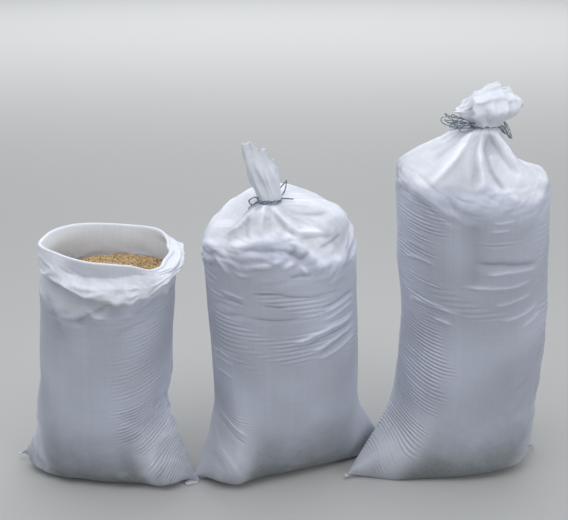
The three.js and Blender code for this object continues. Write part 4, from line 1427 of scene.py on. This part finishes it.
def floor_dirt_and_shade_group():
    """Dirt and painted shade, strongest at the floor and fading with height."""
    tree, given, result = node_group(
        "floor soiling",
        (("Vector", "Vector", None), ("Reach", "Float", 0.10), ("Strength", "Float", 1.0)),
        (("Mask", "Float"),),
    )
    broad = noise(tree, given["Vector"], 9.0, 3.0, 0.6)
    wobble = maths(tree, "MULTIPLY", maths(tree, "SUBTRACT", broad, 0.5), 0.12)
    height = maths(tree, "ADD", upward(tree, given["Vector"]), wobble)
    low = ranged(tree, height, given["Reach"], 0.0)
    specks = ranged(tree, noise(tree, given["Vector"], 160.0, 3.0, 0.7), 0.5, 0.75)
    floor_dirt_and_shade = maths(tree, "MULTIPLY", low, maths(tree, "ADD", maths(tree, "MULTIPLY", specks, 0.25), 0.80))
    feed(tree, maths(tree, "MULTIPLY", floor_dirt_and_shade, given["Strength"], clamp=True), result["Mask"])
    return tree


def mottling_group():
    """Slow uneven lightness, around 1."""
    tree, given, result = node_group(
        "mottling",
        (("Vector", "Vector", None), ("Scale", "Float", 12.0), ("Amount", "Float", 0.1)),
        (("Factor", "Float"),),
    )
    broad = noise(tree, given["Vector"], given["Scale"], 4.0, 0.6)
    amount = maths(tree, "MULTIPLY", given["Amount"], 2.0)
    swing = maths(tree, "MULTIPLY", maths(tree, "SUBTRACT", broad, 0.5), amount)
    feed(tree, maths(tree, "ADD", swing, 1.0), result["Factor"])
    return tree


def new_material(name, roughness, sheen=0.0, specular=0.5):
    material = bpy.data.materials.new(name)
    material.use_nodes = True
    shader = material.node_tree.nodes["Principled BSDF"].inputs
    shader["Roughness"].default_value = roughness
    shader["Sheen Weight"].default_value = sheen
    shader["Specular IOR Level"].default_value = specular
    return material, material.node_tree, shader


def cloth_material(weave, dirt_and_shade, mottling):
    """White woven tape: greyer where wheat lies behind it, and lighter where painted light shines through
    the free cloth. With painted shade and highlight along its creases, painted shade in the weave's low
    spots, and dirt with painted shade towards the floor.
    """
    material, tree, shader = new_material("woven cloth", 0.5, sheen=0.08, specular=0.32)
    backed, lit_through_free, lit_inside = (0.560, 0.585, 0.685, 1), (0.80, 0.825, 0.895, 1), (0.86, 0.91, 0.97, 1)
    floor_dirt_and_shade_color = (0.140, 0.155, 0.140, 1)
    uv = added(tree, "ShaderNodeUVMap", {}, uv_map="cloth")[0]
    place = object_place(tree)
    woven = use_group(tree, weave, Vector=uv)
    # Greyer where wheat lies behind the thin cloth; the lighter free colour is painted light shining through
    # it.
    color = blended(tree, attribute(tree, "slack"), backed, lit_through_free)
    color = blended(tree, attribute(tree, "inside"), color, lit_inside)
    clouds = use_group(tree, mottling, Vector=place, Scale=11.0, Amount=0.08)["Factor"]
    tapes = ranged(tree, woven["Tone"], 0.0, 1.0, 0.955, 1.035, "LINEAR")
    # Painted shade in the valleys of creases and painted highlight on their ridges.
    creases = ranged(tree, attribute(tree, "crease"), -1.0, 1.0, 0.76, 1.20, "LINEAR")
    # Painted shade in the low spots of the weave.
    weave_groove_shade = ranged(tree, woven["Height"], 0.0, 0.8, 0.93, 1.0, "LINEAR")
    worn = maths(tree, "MULTIPLY", clouds, tapes)
    color = shaded(tree, color, maths(tree, "MULTIPLY", worn, maths(tree, "MULTIPLY", creases, weave_groove_shade)))
    # Dirt and painted shade: the cloth darkens towards the floor, less on the ears.
    floor_dirt_and_shade = use_group(tree, dirt_and_shade, Vector=place, Reach=0.21, Strength=1.0)["Mask"]
    spared = ranged(tree, attribute(tree, "clean"), 0.0, 1.0, 1.0, 0.35)
    floor_dirt_and_shade = maths(tree, "MULTIPLY", floor_dirt_and_shade, spared)
    feed(tree, blended(tree, floor_dirt_and_shade, color, floor_dirt_and_shade_color), shader["Base Color"])
    feed(tree, ranged(tree, floor_dirt_and_shade, 0.0, 1.0, 0.50, 0.78, "LINEAR"), shader["Roughness"])
    ripples = bump(tree, noise(tree, place, 85.0, 3.0, 0.55), 0.0014, 0.35, shader)
    bump(tree, woven["Height"], 0.0005, 0.5, shader, ripples)
    return material


def wheat_material(mottling, loose):
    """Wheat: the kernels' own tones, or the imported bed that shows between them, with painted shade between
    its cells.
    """
    material, tree, shader = new_material("wheat kernels" if loose else "wheat bed", 0.55, specular=0.35)
    place = object_place(tree)
    if loose:
        dark, golden, pale = (0.26, 0.150, 0.065, 1), (0.50, 0.33, 0.150, 1), (0.70, 0.56, 0.33, 1)
        tone = attribute(tree, "tone")
        color = blended(tree, ranged(tree, tone, 0.0, 0.45), dark, golden)
        color = blended(tree, ranged(tree, tone, 0.55, 1.0), color, pale)
        bump(tree, noise(tree, place, 900.0, 2.0, 0.6), 0.0004, 0.4, shader)
    else:
        # Painted shade: the bed darkens towards the edges of its cells, between the kernels it stands for.
        near, far = (0.38, 0.24, 0.10, 1), (0.11, 0.06, 0.026, 1)
        distance = added(tree, "ShaderNodeTexVoronoi", {"Scale": 230.0, "Vector": place})["Distance"]
        color = blended(tree, ranged(tree, distance, 0.1, 0.6), near, far)
        bump(tree, maths(tree, "MULTIPLY", distance, -1.0), 0.002, 0.8, shader)
    clouds = use_group(tree, mottling, Vector=place, Scale=35.0, Amount=0.16)["Factor"]
    feed(tree, shaded(tree, color, clouds), shader["Base Color"])
    return material


def twine_material(mottling):
    """Faded blue plastic twine, fibrous along its length."""
    material, tree, shader = new_material("blue twine", 0.55, sheen=0.2)
    blue, faded = (0.100, 0.140, 0.200, 1), (0.34, 0.40, 0.47, 1)
    place = object_place(tree)
    fibres = noise(tree, place, 1400.0, 3.0, 0.7)
    worn = noise(tree, place, 120.0, 2.0, 0.6)
    color = blended(tree, ranged(tree, worn, 0.35, 0.7), blue, faded)
    bands = maths(tree, "SINE", maths(tree, "MULTIPLY", attribute(tree, "along"), 1150.0))
    tone = ranged(tree, maths(tree, "ADD", bands, fibres), -1.0, 2.0, 0.7, 1.25, "LINEAR")
    clouds = use_group(tree, mottling, Vector=place, Scale=60.0, Amount=0.25)["Factor"]
    feed(tree, shaded(tree, color, maths(tree, "MULTIPLY", tone, clouds)), shader["Base Color"])
    bump(tree, fibres, 0.0006, 0.6, shader)
    return material


def thread_material():
    """White sewing thread."""
    material, tree, shader = new_material("sewing thread", 0.7, sheen=0.3)
    fibres = noise(tree, object_place(tree), 1600.0, 2.0, 0.6)
    tone = ranged(tree, fibres, 0.3, 0.7, 0.85, 1.05)
    feed(tree, shaded(tree, (0.80, 0.79, 0.76, 1), tone), shader["Base Color"])
    return material


# The stage.
EYE = (0.00665, -2.02801, 1.400)
LOOKING_DOWN = 22  # degrees
LENS = 55.4  # millimetres, on a sensor 36 mm wide
LAMP_TINT = (0.97, 0.985, 1.0)
SKY_TINT, SKY_STRENGTH = (0.90, 0.94, 1.0, 1), 0.38
FLOOR_TONE = (0.5, 0.5, 0.49, 1)


def set_camera():
    """The eye stands 2 m in front of the row and 1.4 m up, and looks a little down on it."""
    data = bpy.data.cameras.new("camera")
    data.sensor_fit = "HORIZONTAL"
    data.sensor_width = 36
    data.lens = LENS
    camera = bpy.data.objects.new("camera", data)
    camera.location = EYE
    camera.rotation_euler = (math.radians(90 - LOOKING_DOWN), 0, 0)
    bpy.context.scene.collection.objects.link(camera)
    bpy.context.scene.camera = camera


def add_softbox(name, size, energy, location, turn):
    data = bpy.data.lights.new(name, "AREA")
    data.shape = "RECTANGLE"
    data.size, data.size_y = size
    data.energy = energy
    data.color = LAMP_TINT
    light = bpy.data.objects.new(name, data)
    light.location = location
    light.rotation_euler = [math.radians(a) for a in turn]
    bpy.context.scene.collection.objects.link(light)


def set_light():
    world = bpy.data.worlds.new("sky")
    world.use_nodes = True
    sky = world.node_tree.nodes["Background"].inputs
    sky["Color"].default_value = SKY_TINT
    sky["Strength"].default_value = SKY_STRENGTH
    bpy.context.scene.world = world
    add_softbox("overhead", (3.4, 2.2), 43, (-0.3, -0.30, 2.5), (8, -6, 0))
    add_softbox("front right", (2.0, 1.6), 20, (2.3, -2.3, 1.7), (69, 0, 43))
    add_softbox("floor wash", (16, 10), 900, (0, 9.5, 5.0), (0, 0, 0))
    bpy.context.scene.view_settings.view_transform = "Standard"


def add_floor():
    mesh = bpy.data.meshes.new("floor")
    mesh.from_pydata([(-15, -8, 0), (15, -8, 0), (15, 22, 0), (-15, 22, 0)], [], [(0, 1, 2, 3)])
    material, _, shader = new_material("floor", 0.9)
    shader["Base Color"].default_value = FLOOR_TONE
    add_object("floor", mesh, material)


def finished(piece, slot, *nodes):
    """Puts a piece on the row's one body, in place of the solids it stands for. Its slot is not used."""
    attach(piece, "root")
    if nodes:
        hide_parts(*nodes)
    return piece


set_camera()
set_light()
add_floor()
mottling = mottling_group()
woven_cloth = cloth_material(weave_group(), floor_dirt_and_shade_group(), mottling)
kernels = wheat_material(mottling, loose=True)
bed = wheat_material(mottling, loose=False)
blue_twine = twine_material(mottling)

open_sack = open_cloth(SMALL, small_relief)
tied_sacks = (tied_cloth(MEDIUM, medium_relief), tied_cloth(LARGE, large_relief))
bags = (
    (SMALL, open_bag(open_sack)),
    (MEDIUM, tied_bag(tied_sacks[0])),
    (LARGE, tied_bag(tied_sacks[1])),
)
for sack, mesh in bags:
    bag = finished(add_object(sack.name + "_sack", mesh, woven_cloth), "woven_white", sack.name + "_bag")

heap_mesh = heap(open_sack)
seed_kernel = add_object("kernel", kernel_mesh())
loose_wheat = grown("small_kernels", heap_mesh.copy(), scatter_tree(kernels), {"Kernel": seed_kernel})
bpy.data.objects.remove(seed_kernel)
finished(loose_wheat, "wheat")
finished(add_object("small_wheat", heap_mesh, bed), "wheat", "small_grain")
for cloth in tied_sacks:
    name = cloth.m.sack.name
    finished(add_object(name + "_wheat", hidden_fill(cloth), bed), "wheat", name + "_grain")

for piece in hem_tabs(woven_cloth, thread_material()):
    finished(piece, "woven_white")
finished(add_object("medium_twine", medium_tie(), blue_twine), "blue_twine", "medium_tie")
finished(add_object("large_twine", large_tie(), blue_twine), "blue_twine", "large_tie")
